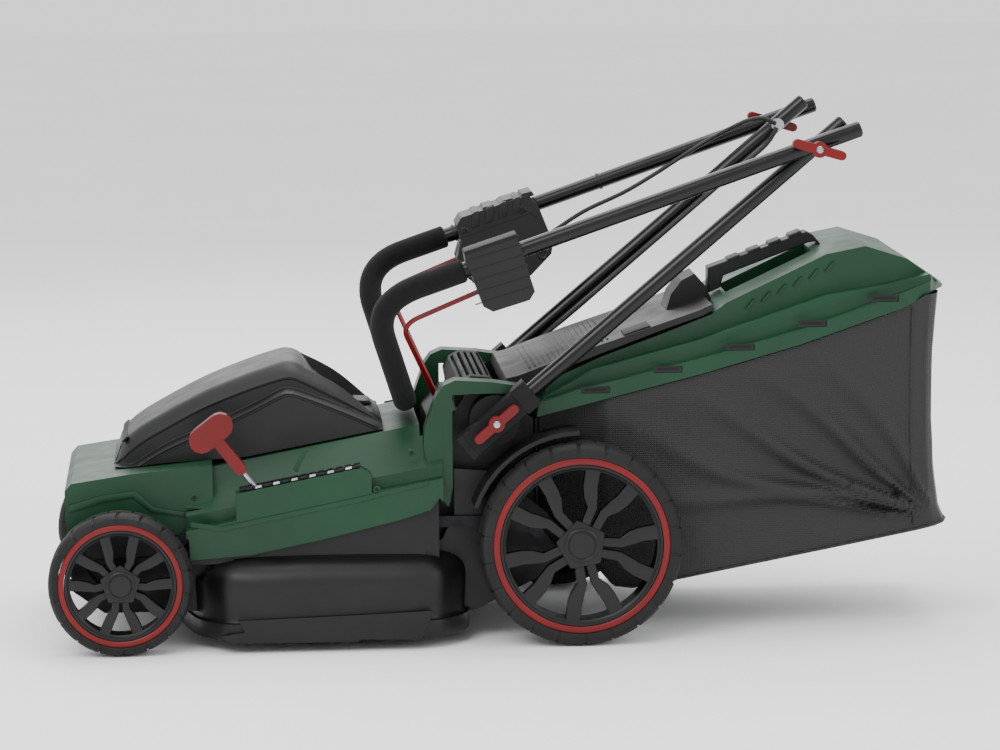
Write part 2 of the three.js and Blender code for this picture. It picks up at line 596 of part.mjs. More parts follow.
function bagLid() {
  const planOuter = (d) => {
    const y = BAG_HALF - d;
    const half = [[-47 + d, -y], [395 - d, -y], [424 - d, -y + 14], [446 - d, -y + 60], [453 - d, -30]];
    return prismZ([...half, ...half.map(([x, w]) => [x, -w]).reverse()], 200, 500);
  };
  const rim = (d) => prismY([...lidRim, [453, 398], [453, 404], ...lowered(rimTop, d)], -BAG_HALF, BAG_HALF);
  const mid = (d) => prismY([[-40, 270], [436, 400], ...lowered(lidMid, d)], -134 + d, 134 - d);
  const crown = (d) => prismY([[-34, 270], [448, 392], ...lowered(lidCrown, d)], -112 + d, 112 - d);
  const scoop = prismY([[193, 379], [191, 404], [296, 446], [299, 430], [290, 410], [210, 376]], -38, 38);
  const scoopWall = prismY([[188, 372], [188, 393], [302, 446.4], [304, 428], [293, 406], [212, 371]], -41, 41);
  const inner = cut(common(planOuter(3), join(rim(3), mid(3), crown(3))), scoopWall);
  const shell = cut(common(planOuter(0), join(rim(0), mid(0), crown(0))), inner);
  const underside = prismY([...lidRim, [453, 404], [470, 404], [470, 100], [-60, 100], [-60, 261]], -144, 144);
  const slots = [0, 1, 2, 3, 4].map((i) => {
    const x = 6 + i * 86;
    const z = 292 + i * 22 + i * i * 0.9;
    return box(x, x + 34, -160, -148.5, z - 1, z + 7);
  });
  add('bag_lid', cut(shell, underside, scoop, ...slots), green);
  const handle = cut(
    prismY([[173, 390], [173, 421], [293, 463], [301, 459], [316, 441], [310, 432], [306, 450.5]
      , [296, 449.5], [192, 411], [188, 396.5]].map(([x, z]) => [x, z + 1]), -14, 14),
    prismY([...lidCrown, [-34, 270], [448, 270]].map(([x, z]) => [x, z + 0.5]), -112, 112),
  );
  add('bag_carry_handle', handle, black);
}
bagLid();

function bagFabric() {
  const side = (d) => [[-42, 138], [-6, 118], [44, 60], [66, 57], [119, 66], [320, 103], [447 - d, 127 + d * 0.3],
    [438 - d, 145], [432 - d, 190], [429 - d, 250], [430 - d, 330], [436 - d, 395]];
  const top = lowered([...lidRim].reverse(), 1);
  const plan = (d) => {
    const y = BAG_HALF - 4 - d;
    const half = [[-42, -BRACKET[0] + 5 + d], [14, -136 + d], [36 + d, -y], [423 - d, -y], [447 - d, -y + 12],
      [450 - d, -60]];
    return prismZ([...half, ...half.map(([x, w]) => [x, -w]).reverse()], 0, 500);
  };
  const outer = common(prismY([...side(0), ...top], -200, 200), plan(0));
  const insideLine = [[-60, 141], [-4, 121], [46, 63], [66, 60], [119, 69], [320, 106], [441, 131], [434, 146],
    [428, 190], [425, 250], [426, 330], [430, 500], [-60, 500]];
  const inner = common(prismY(insideLine, -200, 200), plan(3));
  const mouth = box(-60, -38, -BRACKET[0] + 8, BRACKET[0] - 8, 141, 400);
  add('bag_fabric', cut(outer, inner, mouth), cloth);
}
bagFabric();

function bagFrame() {
  const ring = cut(box(-47, -42.5, -114, 114, 134, 258), box(-60, -30, -108, 108, 140, 252));
  add('bag_mouth_frame', ring, black);
}
bagFrame();

// ---- folded handle --------------------------------------------------------------------------
const lowerLength = Math.hypot(FOLD.x - CLAMP.x, FOLD.z - CLAMP.z);
const lowerDir = { x: (FOLD.x - CLAMP.x) / lowerLength, z: (FOLD.z - CLAMP.z) / lowerLength };
const lowerPoint = (t, y) => at(CLAMP.x + t * lowerDir.x, y, CLAMP.z + t * lowerDir.z);
const TUBE_WAY = TUBE_R + 0.9;
const BOLT_R = 3;

function lowerHandle(label, side) {
  const y = side * LOWER_Y;
  const axis = [lowerPoint(-40, y), lowerPoint(lowerLength + 45, y)];
  const wayAxis = [lowerPoint(-41, y), lowerPoint(90, y)];
  const holes = [
    rodY(BOLT_R + GAP, ...spanY(side, [140, 200]), CLAMP.x, CLAMP.z, 12),
    rodY(BOLT_R + GAP, ...spanY(side, [140, 200]), FOLD.x, FOLD.z, 12),
  ];
  add(`lower_tube_${label}`, cut(sweep(axis, TUBE_R, 14), ...holes), blackPaint);

  const channel = box(-46, 56, ...spanY(side, [153.5, 178]), -15, 15);
  const collar = box(36, 56, ...spanY(side, [153.5, 180]), -17, 17);
  const foot = box(-48, -40, ...spanY(side, [153.5, 179]), -16, 16);
  const turn = -Math.atan2(lowerDir.z, lowerDir.x);
  const along = [channel, collar, foot].map((g) => g.rotateY(turn).translate(CLAMP.x, 0, CLAMP.z));
  const disc = rodY(CLAMP.r - 1, ...spanY(side, [153.5, 157]), CLAMP.x, CLAMP.z, 28);
  add(`handle_clamp_${label}`, cut(join(disc, ...along), sweep(wayAxis, TUBE_WAY, 14), holes[0]), charcoal);

  wingLever(`wing_lever_clamp_${label}`, side, CLAMP, [180.5, 190], Math.atan2(lowerDir.z, lowerDir.x), 27);
  bolt(`clamp_bolt_${label}`, side, CLAMP, [131, 189.5], 0);
  wingLever(`wing_lever_fold_${label}`, side, FOLD, [198.5, 208], rad(-16), 27);
  bolt(`fold_bolt_${label}`, side, FOLD, [151, 207.5], 8);
}

/** Two-armed clamping lever with a thick hub, turning on its bolt. */
function wingLever(name, side, centre, [y0, y1], angle, reach) {
  const d = { x: Math.cos(angle), z: Math.sin(angle) };
  const a = { x: centre.x - reach * d.x, z: centre.z - reach * d.z };
  const b = { x: centre.x + reach * d.x, z: centre.z + reach * d.z };
  const [low, high] = spanY(side, [y0, y1]);
  const arms = barY(a, b, 5.5, low, high);
  const hub = rodY(9.5, low, high, centre.x, centre.z, 20);
  const hole = rodY(BOLT_R + GAP, low - 1, high + 1, centre.x, centre.z, 12);
  add(name, cut(join(arms, hub), hole), red);
}

function bolt(name, side, centre, [y0, y1], headR) {
  const shank = rodY(BOLT_R, ...spanY(side, [y0, y1]), centre.x, centre.z, 12);
  const head = headR ? rodY(headR, ...spanY(side, [y0, y0 + 3.2]), centre.x, centre.z, 16) : shank;
  add(name, headR ? join(shank, head) : shank, steel);
}
lowerHandle('left', -1);
lowerHandle('right', 1);

const legSlope = 0.34;
const legZ = (x) => 444 + legSlope * (x + 134);
const LEG_END = 332;
const BEND = at(-240.6, 0, legZ(-240.6));
const CROSS = at(-198, 0, 273);
const CROSS_HALF = 96;
const uPoints = (startX) => [
  at(startX, -UPPER_Y, legZ(startX)), at(BEND.x, -UPPER_Y, BEND.z), at(CROSS.x, -CROSS_HALF, CROSS.z),
  at(CROSS.x, CROSS_HALF, CROSS.z), at(BEND.x, UPPER_Y, BEND.z), at(startX, UPPER_Y, legZ(startX)),
];
const U_BENDS = [58, 60, 60, 58];

function upperHandle() {
  const tube = sweep(bentStations(uPoints(LEG_END), U_BENDS), TUBE_R, 10);
  const holes = both((side) => rodY(BOLT_R + GAP, ...spanY(side, [150, 220]), FOLD.x, FOLD.z, 12));
  add('upper_tube', cut(tube, ...holes), blackPaint);
  const grip = cut(
    sweep(bentStations(uPoints(-133), U_BENDS), GRIP_R, 10),
    sweep(bentStations(uPoints(-120), U_BENDS), TUBE_WAY, 10),
  );
  add('foam_grip', grip, foamBlack);
}
upperHandle();

const BAIL_PIVOT = { x: -92, z: 428 };
const BAIL_Y = 177;
const BAIL_FOOT = 68;
const tubeWay = (side) => sweep([-200, 200].map((x) => at(x, side * UPPER_Y, legZ(x))), TUBE_WAY, 14);
const bailWay = (side) => join(
  prismY([[-150, 390], [-150, 425], [-98, 440], [-84, 434], [-84, 422]], ...spanY(side, [BAIL_Y - 5, BAIL_Y + 5])),
  rodY(4 + GAP, ...spanY(side, [BAIL_Y - 9, BAIL_Y + 12]), BAIL_PIVOT.x, BAIL_PIVOT.z, 12),
);

function switchBox() {
  const outline = [[-122, 462], [-116, 472], [-33, 499], [-20, 485], [-2, 440], [-4, 425], [-30, 398], [-98, 388],
    [-114, 400], [-122, 420], [-116, 440]];
  const body = prismY(outline, 138, 204);
  const ribs = [0, 1, 2].map((i) => prismY([[-92 + 24 * i, 476 + 8 * i], [-88 + 24 * i, 484 + 8 * i],
    [-76 + 24 * i, 487 + 8 * i], [-72 + 24 * i, 482 + 8 * i]], 142, 200));
  const buttonWay = rodY(7 + GAP, 130, 150, -60, 430, 16);
  const socket = box(-30, 20, 158, 176, 418, 434);
  add('switch_box', cut(join(body, ...ribs), tubeWay(1), bailWay(1), buttonWay, socket), charcoal);
  add('lock_off_button', rodY(7, 132, 143, -60, 430, 16), red);
}
switchBox();

function bailMount() {
  const outline = [[-134, 466], [-73, 486], [-64, 458], [-52, 420], [-58, 410], [-101, 397], [-112, 403],
    [-121, 428], [-132, 455]];
  add('bail_mount', cut(prismY(outline, -204, -166), tubeWay(-1), bailWay(-1)), charcoal);
}
bailMount();

function bail() {
  const corner = { x: -207, z: 380 };
  const foot = { x: -157, z: 269 };
  const path = bentStations([
    at(BAIL_PIVOT.x, -BAIL_Y, BAIL_PIVOT.z), at(corner.x, -BAIL_Y, corner.z), at(foot.x, -BAIL_FOOT, foot.z),
    at(foot.x, BAIL_FOOT, foot.z), at(corner.x, BAIL_Y, corner.z), at(BAIL_PIVOT.x, BAIL_Y, BAIL_PIVOT.z),
  ], [24, 40, 40, 24]);
  const pins = both((side) => rodY(4, ...spanY(side, [BAIL_Y - 3, BAIL_Y + 11]), BAIL_PIVOT.x, BAIL_PIVOT.z, 12));
  add('bail', join(sweep(path, 3, 8), ...pins), red);
}
bail();

// ---- cable, held all the way from the switch box down to the deck ---------------------------
const CABLE_R = 2.7;
// The two runs meet on the handle's fold axis, where the cable bends when the handle unfolds.
const upperRun = [[-1, 172, 448], [40, 172, 474], [90, 171, 497], [130, 171, 520], [165, 171, 542],
  [194, 166, 560], [212, 156, 571], [228, 149.5, 580], [244, 146.5, 587], [262, 146, 589], [277.9, 146, 581.8]];
const lowerRun = [[279.2, 146, 576.9], [275, 146, 569], [262, 148, 552], [220, 149, 517], [150, 149, 458],
  [80, 149, 399], [10, 149, 340], [-40, 148.5, 303], [-58, 146, 293.5]];
const run = (points) => new THREE.CatmullRomCurve3(points.map((p) => at(...p)), false, 'centripetal')
  .getPoints(3 * (points.length - 1));
add('cable_upper', sweep(run(upperRun), CABLE_R, 8), black);
add('cable_lower', sweep(run(lowerRun), CABLE_R, 8), black);

export default mower;
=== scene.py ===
"""Walk-behind lawn mower with a grass bag and a folded handle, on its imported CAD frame."""
import json
import math

import bmesh
import bpy
from mathutils import Matrix, Vector, noise


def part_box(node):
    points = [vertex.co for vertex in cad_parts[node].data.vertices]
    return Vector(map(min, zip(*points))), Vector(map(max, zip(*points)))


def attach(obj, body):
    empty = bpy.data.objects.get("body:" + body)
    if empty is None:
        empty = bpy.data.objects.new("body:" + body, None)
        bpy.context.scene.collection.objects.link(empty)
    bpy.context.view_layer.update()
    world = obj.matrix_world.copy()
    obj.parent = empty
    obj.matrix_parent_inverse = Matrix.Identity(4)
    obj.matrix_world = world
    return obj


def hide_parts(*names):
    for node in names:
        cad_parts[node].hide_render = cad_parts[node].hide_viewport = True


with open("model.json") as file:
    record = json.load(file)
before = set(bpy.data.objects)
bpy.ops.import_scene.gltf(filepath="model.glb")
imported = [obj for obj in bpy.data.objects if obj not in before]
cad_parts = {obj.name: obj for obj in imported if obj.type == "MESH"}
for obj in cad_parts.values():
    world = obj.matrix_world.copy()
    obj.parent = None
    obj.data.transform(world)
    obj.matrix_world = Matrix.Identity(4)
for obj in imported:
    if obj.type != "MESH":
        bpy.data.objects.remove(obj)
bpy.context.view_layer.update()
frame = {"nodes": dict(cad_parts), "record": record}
nodes = frame["nodes"]
bodies_of = {n: b for b, ns in frame["record"]["behaviour"]["bodies"].items() for n in ns}
slots_of = {s["node"]: s["material_slot"] for s in frame["record"]["subparts"]}


def centre(node):
    """Centre of a CAD node's box."""
    lo, hi = (Vector(c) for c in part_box(node))
    return (lo + hi) / 2


AXIS_X = centre("tyre_rear_left").x  # the rear wheels' centre, from which lengths are drawn
WELD = 1e-6  # points closer than this, in metres, become one


def at(x, y, z):
    """A point in millimetres, with X = 0 at the rear wheels' centre, as a point in metres."""
    return Vector((x / 1000 + AXIS_X, y / 1000, z / 1000))


# ---- materials -----------------------------------------------------------------------------------
def linear(*levels):
    """Colour given as three display levels of 0 to 255, as the linear values that a shader takes."""
    return tuple((c / 255 / 12.92) if c < 10.3 else ((c / 255 + 0.055) / 1.055) ** 2.4 for c in levels) + (1,)


class Shader:
    """A node material with short calls for the parts that every finish here needs."""

    def __init__(self, name, rough, metallic=0.0, **constants):
        self.material = bpy.data.materials.new(name)
        self.material.use_nodes = True
        self.tree = self.material.node_tree
        self.bsdf = self.tree.nodes["Principled BSDF"]
        self.set("Roughness", rough)
        self.set("Metallic", metallic)
        for socket, value in constants.items():
            self.set(socket.replace("_", " "), value)
        self.place = self.tree.nodes.new("ShaderNodeTexCoord").outputs["Object"]
        self.normal = None

    def set(self, socket, value):
        self.bsdf.inputs[socket].default_value = value

    def node(self, kind, **inputs):
        n = self.tree.nodes.new(kind)
        for key, value in inputs.items():
            self.join(value, n.inputs[key.replace("_", " ")])
        return n

    def join(self, value, socket):
        if isinstance(value, bpy.types.NodeSocket):
            self.tree.links.new(value, socket)
        else:
            socket.default_value = value

    def stretched(self, x, y, z):
        m = self.node("ShaderNodeMapping", Vector=self.place)
        m.inputs["Scale"].default_value = (x, y, z)
        return m.outputs["Vector"]

    def noise(self, scale, detail=3.0, where=None):
        n = self.node("ShaderNodeTexNoise", Vector=where or self.place, Scale=scale, Detail=detail)
        return n.outputs["Fac"]

    def spread(self, value, low, high, start=0.3, end=0.7):
        n = self.node("ShaderNodeMapRange", Value=value, From_Min=start, From_Max=end, To_Min=low, To_Max=high)
        return n.outputs["Result"]

    def mix(self, factor, a, b):
        n = self.tree.nodes.new("ShaderNodeMix")
        n.data_type = "RGBA"
        self.join(factor, n.inputs["Factor"])
        self.join(a, n.inputs[6])
        self.join(b, n.inputs[7])
        return n.outputs[2]

    def colour(self, value):
        self.join(value, self.bsdf.inputs["Base Color"])

    def roughness(self, value):
        self.join(value, self.bsdf.inputs["Roughness"])

    def bump(self, height, strength, distance):
        n = self.node("ShaderNodeBump", Height=height, Strength=strength, Distance=distance)
        if self.normal:
            self.tree.links.new(self.normal, n.inputs["Normal"])
        self.normal = n.outputs["Normal"]
        self.tree.links.new(self.normal, self.bsdf.inputs["Normal"])


def moulded(name, dark, light, rough, grain=0.15, grain_size=1500, **constants):
    """Moulded plastic: soft tone changes, fine grain and uneven gloss."""
    constants.setdefault("Specular_IOR_Level", 0.34)
    s = Shader(name, rough, **constants)
    s.colour(s.mix(s.spread(s.noise(9.0, 5), 0, 1), dark, light))
    s.roughness(s.spread(s.noise(28.0, 6), rough - 0.06, rough + 0.08))
    s.bump(s.noise(grain_size, 2), grain, 0.0003)
    s.bump(s.noise(14.0, 2), 0.08, 0.002)
    return s.material


def metal(name, colour, dark, rough, along=(1, 1, 1), **constants):
    """Metal with fine drawn lines and faint stains."""
    s = Shader(name, rough, 1.0, **constants)
    s.colour(s.mix(s.spread(s.noise(35.0, 5), 0, 1), colour, dark))
    lines = s.noise(900.0, 2, s.stretched(*along))
    s.roughness(s.spread(lines, rough - 0.05, rough + 0.12))
    s.bump(lines, 0.12, 0.0002)
    return s.material


def rubber(name, dark, light, rough):
    """Rubber: dull, with tone changes and a fine grain."""
    s = Shader(name, rough, Specular_IOR_Level=0.35)
    s.colour(s.mix(s.spread(s.noise(60.0, 6), 0, 1), dark, light))
    s.roughness(s.spread(s.noise(20.0, 5), rough - 0.08, rough + 0.08))
    s.bump(s.noise(2200.0, 2), 0.25, 0.0003)
    return s.material


def foam(name):
    """Foam: very rough, with small cells."""
    s = Shader(name, 0.92, Sheen_Weight=0.06, Sheen_Roughness=0.6, Specular_IOR_Level=0.15)
    s.colour(s.mix(s.spread(s.noise(120.0, 4), 0, 1), linear(8, 8, 8), linear(15, 15, 15)))
    cells = s.node("ShaderNodeTexVoronoi", Vector=s.place, Scale=900.0).outputs["Distance"]
    s.bump(cells, 0.55, 0.0006)
    s.bump(s.noise(60.0, 3), 0.2, 0.001)
    return s.material


def woven(name):
    """Bag cloth: a fine open weave of two thread directions, with slack marks and a little sheen."""
    s = Shader(name, 0.52, Sheen_Weight=0.08, Sheen_Roughness=0.4, Specular_IOR_Level=0.45)
    heights = []
    for axis in ("X", "Z"):
        w = s.node("ShaderNodeTexWave", Vector=s.place, Scale=122.0, Distortion=0.12, Detail=1.0)
        w.wave_type, w.bands_direction, w.wave_profile = "BANDS", axis, "SIN"
        heights.append(w.outputs["Fac"])
    product = s.node("ShaderNodeMath")
    product.operation = "MULTIPLY"
    s.join(heights[0], product.inputs[0])
    s.join(heights[1], product.inputs[1])
    thread = s.spread(product.outputs[0], 0, 1, 0.1, 0.8)
    tone = s.mix(s.spread(s.noise(7.0, 4), 0, 1), linear(11, 11, 12), linear(19, 19, 20))
    s.colour(s.mix(thread, linear(5, 5, 6), tone))
    s.bump(product.outputs[0], 0.6, 0.0009)
    s.bump(s.noise(38.0, 4), 0.12, 0.002)
    return s.material


def pale_floor():
    """The studio floor: nearly white and matt."""
    s = Shader("studio_floor", 0.85)
    s.colour(s.mix(s.spread(s.noise(2.0, 3), 0, 1), linear(247, 247, 247), linear(252, 252, 252)))
    return s.material


GREEN = moulded("green_plastic", linear(1, 45, 22), linear(3, 54, 28), 0.42, 0.1)
BLACK = moulded("black_plastic", linear(6, 6, 7), linear(11, 11, 12), 0.44, 0.18)
GLOSSY = moulded("deck_plastic", linear(6, 6, 6), linear(10, 10, 11), 0.46, 0.1)
GREY = moulded("grey_plastic", linear(14, 14, 15), linear(21, 21, 22), 0.58, 0.25, Specular_IOR_Level=0.2)
CHARCOAL = moulded("charcoal_plastic", linear(9, 9, 10), linear(15, 15, 16), 0.44, 0.25)
RIM = moulded("rim_plastic", linear(6, 6, 7), linear(11, 11, 12), 0.4, 0.2)
RED = moulded("red_plastic", linear(88, 0, 1), linear(106, 0, 3), 0.4, 0.05)
RED_WIRE = moulded("red_coating", linear(90, 0, 1), linear(108, 0, 3), 0.36, 0.03)
PAINT = moulded("black_coating", linear(6, 6, 6), linear(11, 11, 12), 0.24, 0.04, 1200,
                Specular_IOR_Level=0.32)
DARK_STEEL = metal("blackened_steel", linear(52, 52, 55), linear(34, 34, 36), 0.42, (1, 0.05, 1))
STEEL = metal("zinc_steel", linear(196, 198, 202), linear(158, 160, 165), 0.24, (1, 0.05, 1))
MOTOR = metal("motor_metal", linear(120, 120, 124), linear(84, 84, 88), 0.5, (1, 1, 0.05))
TYRE = rubber("tyre_rubber", linear(7, 7, 7), linear(13, 13, 13), 0.68)
CABLE = rubber("cable_sheath", linear(15, 15, 15), linear(26, 26, 26), 0.45)
FOAM = foam("grip_foam")
CLOTH = woven("bag_cloth")

LOOKS = {
    "green_plastic": GREEN, "black_plastic": BLACK, "grey_plastic": GREY, "rim_plastic": RIM,
    "tyre_rubber": TYRE, "red_plastic": RED, "red_paint": RED_WIRE, "black_paint": PAINT,
    "zinc_steel": STEEL, "motor_can": MOTOR, "foam": FOAM, "bag_cloth": CLOTH, "cable_rubber": CABLE,
}
NODE_LOOKS = {
    "deck_shell": GLOSSY, "motor_hood": CHARCOAL, "rear_flap": CHARCOAL, "switch_box": CHARCOAL,
    "bail_mount": CHARCOAL, "height_link": DARK_STEEL, "rear_axle": DARK_STEEL, "front_axle": DARK_STEEL,
}


def look_of(node):
    return NODE_LOOKS.get(node, LOOKS[slots_of[node]])


for node, obj in nodes.items():
    obj.data.materials.clear()
    obj.data.materials.append(look_of(node))


# ---- helpers that make pieces --------------------------------------------------------------------
def piece(name, mesh, look, body, stands_for=None, smooth=None):
    """A new object of the model, riding on a body and standing for a CAD node where one is given."""
    obj = bpy.data.objects.new(name, mesh)
    bpy.context.scene.collection.objects.link(obj)
    mesh.materials.clear()
    mesh.materials.append(look)
    if smooth is not None:
        for face in mesh.polygons:
            face.use_smooth = True
        mesh.set_sharp_from_angle(angle=math.radians(smooth))
    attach(obj, body)
    if stands_for:
        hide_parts(stands_for)
    return obj


def from_bmesh(bm, name):
    """Mesh with its faces turned outwards. The bmesh is used up."""
    bmesh.ops.recalc_face_normals(bm, faces=bm.faces[:])
    mesh = bpy.data.meshes.new(name)
    bm.to_mesh(mesh)
    bm.free()
    return mesh


def softened(node, width):
    """The CAD piece's shape with its edges rounded as a mould leaves them."""
    merge, flat, sharp = 2e-6, 0.6, 28  # metres, and two angles in degrees
    bm = bmesh.new()
    bm.from_mesh(nodes[node].data)
    bmesh.ops.remove_doubles(bm, verts=bm.verts[:], dist=merge)
    bmesh.ops.dissolve_degenerate(bm, edges=bm.edges[:], dist=merge)
    bmesh.ops.dissolve_limit(bm, angle_limit=math.radians(flat), verts=bm.verts[:], edges=bm.edges[:])
    mesh = bpy.data.meshes.new(node + "_shape")
    bm.to_mesh(mesh)
    bm.free()
    obj = piece(node + "_skin", mesh, look_of(node), bodies_of[node], node, smooth=sharp)
    mod = obj.modifiers.new("edges", "BEVEL")
    mod.width, mod.segments, mod.limit_method, mod.angle_limit = width, 2, "ANGLE", math.radians(sharp)
    mod.use_clamp_overlap, mod.harden_normals, mod.miter_outer = True, True, "MITER_ARC"


def bridged(bm, rings):
    """Faces between each closed ring of vertices and the next one."""
    for a, b in zip(rings, rings[1:]):
        for k in range(len(a)):
            bm.faces.new((a[k], a[(k + 1) % len(a)], b[(k + 1) % len(a)], b[k]))


def revolved(name, profile, steps, axis="Y", ripple=None):
    """Closed (radius, along) profile turned about an axis. ripple(angle, radius, along) may move its points."""
    bm = bmesh.new()
    rings = []
    for i in range(steps):
        a = 2 * math.pi * i / steps
        ring = []
        for r, y in profile:
            rr, yy = ripple(a, r, y) if ripple else (r, y)
            c, s = rr * math.cos(a), rr * math.sin(a)
            ring.append(bm.verts.new((c, yy, s) if axis == "Y" else (c, s, yy)))
        rings.append(ring)
    bridged(bm, rings + rings[:1])
    bmesh.ops.remove_doubles(bm, verts=bm.verts[:], dist=WELD)
    return from_bmesh(bm, name)


def rounded_line(points, reaches, per_bend=14):
    """Points along straight legs whose corners are rounded, each with its own reach."""
    out = [points[0]]
    for i, reach in enumerate(reaches):
        corner = points[i + 1]
        p = corner + (points[i] - corner).normalized() * reach
        q = corner + (points[i + 2] - corner).normalized() * reach
        for k in range(per_bend + 1):
            t = k / per_bend
            out.append(p * (1 - t) ** 2 + corner * 2 * t * (1 - t) + q * t * t)
    out.append(points[-1])
    return out


def tube(name, points, radius, sides=28, swell=None):
    """Round bar along the points, narrower over a short step at both ends."""
    longest, end_scale, end_step = 0.02, 0.82, 0.18
    dense = [points[0]]
    for p, q in zip(points, points[1:]):
        cuts = max(1, int((q - p).length / longest))
        dense += [p.lerp(q, (k + 1) / cuts) for k in range(cuts)]
    last = len(dense) - 1
    tangents = [(dense[min(i + 1, last)] - dense[max(i - 1, 0)]).normalized() for i in range(len(dense))]
    up = tangents[0].orthogonal().normalized()
    bm = bmesh.new()
    rings = []
    stations = [(dense[0], tangents[0], end_scale)]
    stations.append((dense[0] + tangents[0] * radius * end_step, tangents[0], 1.0))
    stations += [(p, t, 1.0) for p, t in zip(dense[1:-1], tangents[1:-1])]
    stations.append((dense[-1] - tangents[-1] * radius * end_step, tangents[-1], 1.0))
    stations.append((dense[-1], tangents[-1], end_scale))
    run, before = 0.0, stations[0][0]
    for p, t, scale in stations:
        run += (p - before).length
        before = p
        up = (up - t * up.dot(t)).normalized()
        side = t.cross(up)
        r = radius * scale * (swell(run) if swell else 1.0)
        rings.append([bm.verts.new(p + (up * math.cos(a) + side * math.sin(a)) * r)
                      for a in (2 * math.pi * k / sides for k in range(sides))])
    bridged(bm, rings)
    bm.faces.new(rings[0][::-1])
    bm.faces.new(rings[-1])
    return from_bmesh(bm, name)


def drawn_through(name, corners, depth, bevel, segments=2):
    """Outline drawn through a depth, with every edge rounded that is sharper than 30 degrees."""
    bm = bmesh.new()
    face = bm.faces.new([bm.verts.new(c) for c in corners])
    moved = bmesh.ops.extrude_face_region(bm, geom=[face])
    ends = [v for v in moved["geom"] if isinstance(v, bmesh.types.BMVert)]
    bmesh.ops.translate(bm, vec=depth, verts=ends)
    bmesh.ops.recalc_face_normals(bm, faces=bm.faces[:])
    edges = [e for e in bm.edges if len(e.link_faces) == 2 and e.calc_face_angle(0) > math.radians(30)]
    bmesh.ops.bevel(bm, geom=edges, offset=bevel, segments=segments, profile=0.6,
                    affect="EDGES", clamp_overlap=True)
    return from_bmesh(bm, name)


def slab(name, outline, y0, y1, bevel):
    """Outline in millimetres, of X and Z, drawn from y0 to y1 with rounded edges."""
    return drawn_through(name, [at(x, y0, z) for x, z in outline], at(0, y1, 0) - at(0, y0, 0), bevel)


def detail(name, outline, y0, y1, body, slot, bevel=0.0006, look=None):
    """Small slab on a body, in the look of its material slot unless another is given."""
    piece(name, slab(name, outline, y0, y1, bevel), look or LOOKS[slot], body, smooth=30)


def disc(name, point, axis, profile, steps=36):
    """Turned piece: (radius, along) in millimetres about an axis through a point in metres."""
    mesh = revolved(name, [(r / 1000, y / 1000) for r, y in profile], steps, "Z")
    turn = Vector((0, 0, 1)).rotation_difference(Vector(axis)).to_matrix().to_4x4()
    mesh.transform(Matrix.Translation(point) @ turn)
    return mesh


# ---- wheels --------------------------------------------------------------------------------------
def wheel_box(node):
    """Centre, radius and half width of a wheel's piece, and 1 or -1 for the side that faces out."""
    lo, hi = (Vector(c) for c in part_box(node))
    mid = (lo + hi) / 2
    return mid, (hi.z - lo.z) / 2, (hi.y - lo.y) / 2, -1 if mid.y < 0 else 1


def tyre(node, blocks, side_height):
    """Tread and two sides. A groove runs round the tread's middle, and cuts run across it."""
    mid, radius, half, _ = wheel_box(node)
    inner = radius - side_height
    edge = [(inner, half - 0.0006), (inner + 0.003, half - 0.0002), (radius - 0.009, half),
            (radius - 0.0045, half - 0.001), (radius - 0.0015, half - 0.0045), (radius - 0.0002, half - 0.010),
            (radius, half - 0.0125), (radius, 0.0022), (radius - 0.0022, 0.0016)]
    profile = [(r, -y) for r, y in edge] + edge[::-1]
    pitch = 2 * math.pi / blocks
    lean, cut_width, cut_depth, side_depth = 0.12, 0.055, 0.0026, 0.0011

    def groove(a, r, y):
        # Cuts across the tread, turned half a block between the two halves of the tread, that
        # run down the side as shallow lines.
        shift = 0.0 if y < 0 else 0.5
        phase = ((a / pitch + shift + y / half * lean) % 1.0) - 0.5
        near = max(0.0, 1 - (abs(phase) / cut_width) ** 4)
        if r < inner + 0.002:
            return r, y
        if r < radius - 0.004:
            return r, y - math.copysign(side_depth * near, y)
        return r - cut_depth * near, y

    mesh = revolved(node + "_tread", profile, blocks * 36, "Y", groove)
    mesh.transform(Matrix.Translation(mid))
    piece(node + "_tread", mesh, TYRE, bodies_of[node], node, smooth=32)


def trim_ring(node, width):
    """Coloured ring between tyre and rim, slightly crowned."""
    mid, radius, half, out = wheel_box(node)
    profile = [(radius, -out * half), (radius, out * (half - 0.0012)), (radius - 0.0012, out * (half - 0.0002)),
               (radius - width / 2, out * half), (radius - width + 0.0012, out * (half - 0.0002)),
               (radius - width, out * (half - 0.0012)), (radius - width, -out * half)]
    mesh = revolved(node + "_ring", profile, 144)
    mesh.transform(Matrix.Translation(mid))
    piece(node + "_ring", mesh, RED, bodies_of[node], node, smooth=40)


def hub_cap(node):
    """Stepped cap, a fifth wider than the CAD piece."""
    mid, radius, half, out = wheel_box(node)
    radius *= 1.2
    face = [(1.0, -1.0), (1.0, 0.55), (0.93, 0.8), (0.84, 0.86), (0.8, 0.7), (0.76, 0.7), (0.72, 0.9),
            (0.45, 0.97), (0.0001, 1.0), (0.0001, -1.0)]
    mesh = revolved(node + "_cap", [(r * radius, out * y * half) for r, y in face], 60)
    mesh.transform(Matrix.Translation(mid))
    piece(node + "_cap", mesh, RIM, bodies_of[node], node, smooth=35)


def joined(name, meshes):
    """One mesh made of several."""
    bm = bmesh.new()
    for m in meshes:
        bm.from_mesh(m)
    mesh = bpy.data.meshes.new(name)
    bm.to_mesh(mesh)
    bm.free()
    return mesh


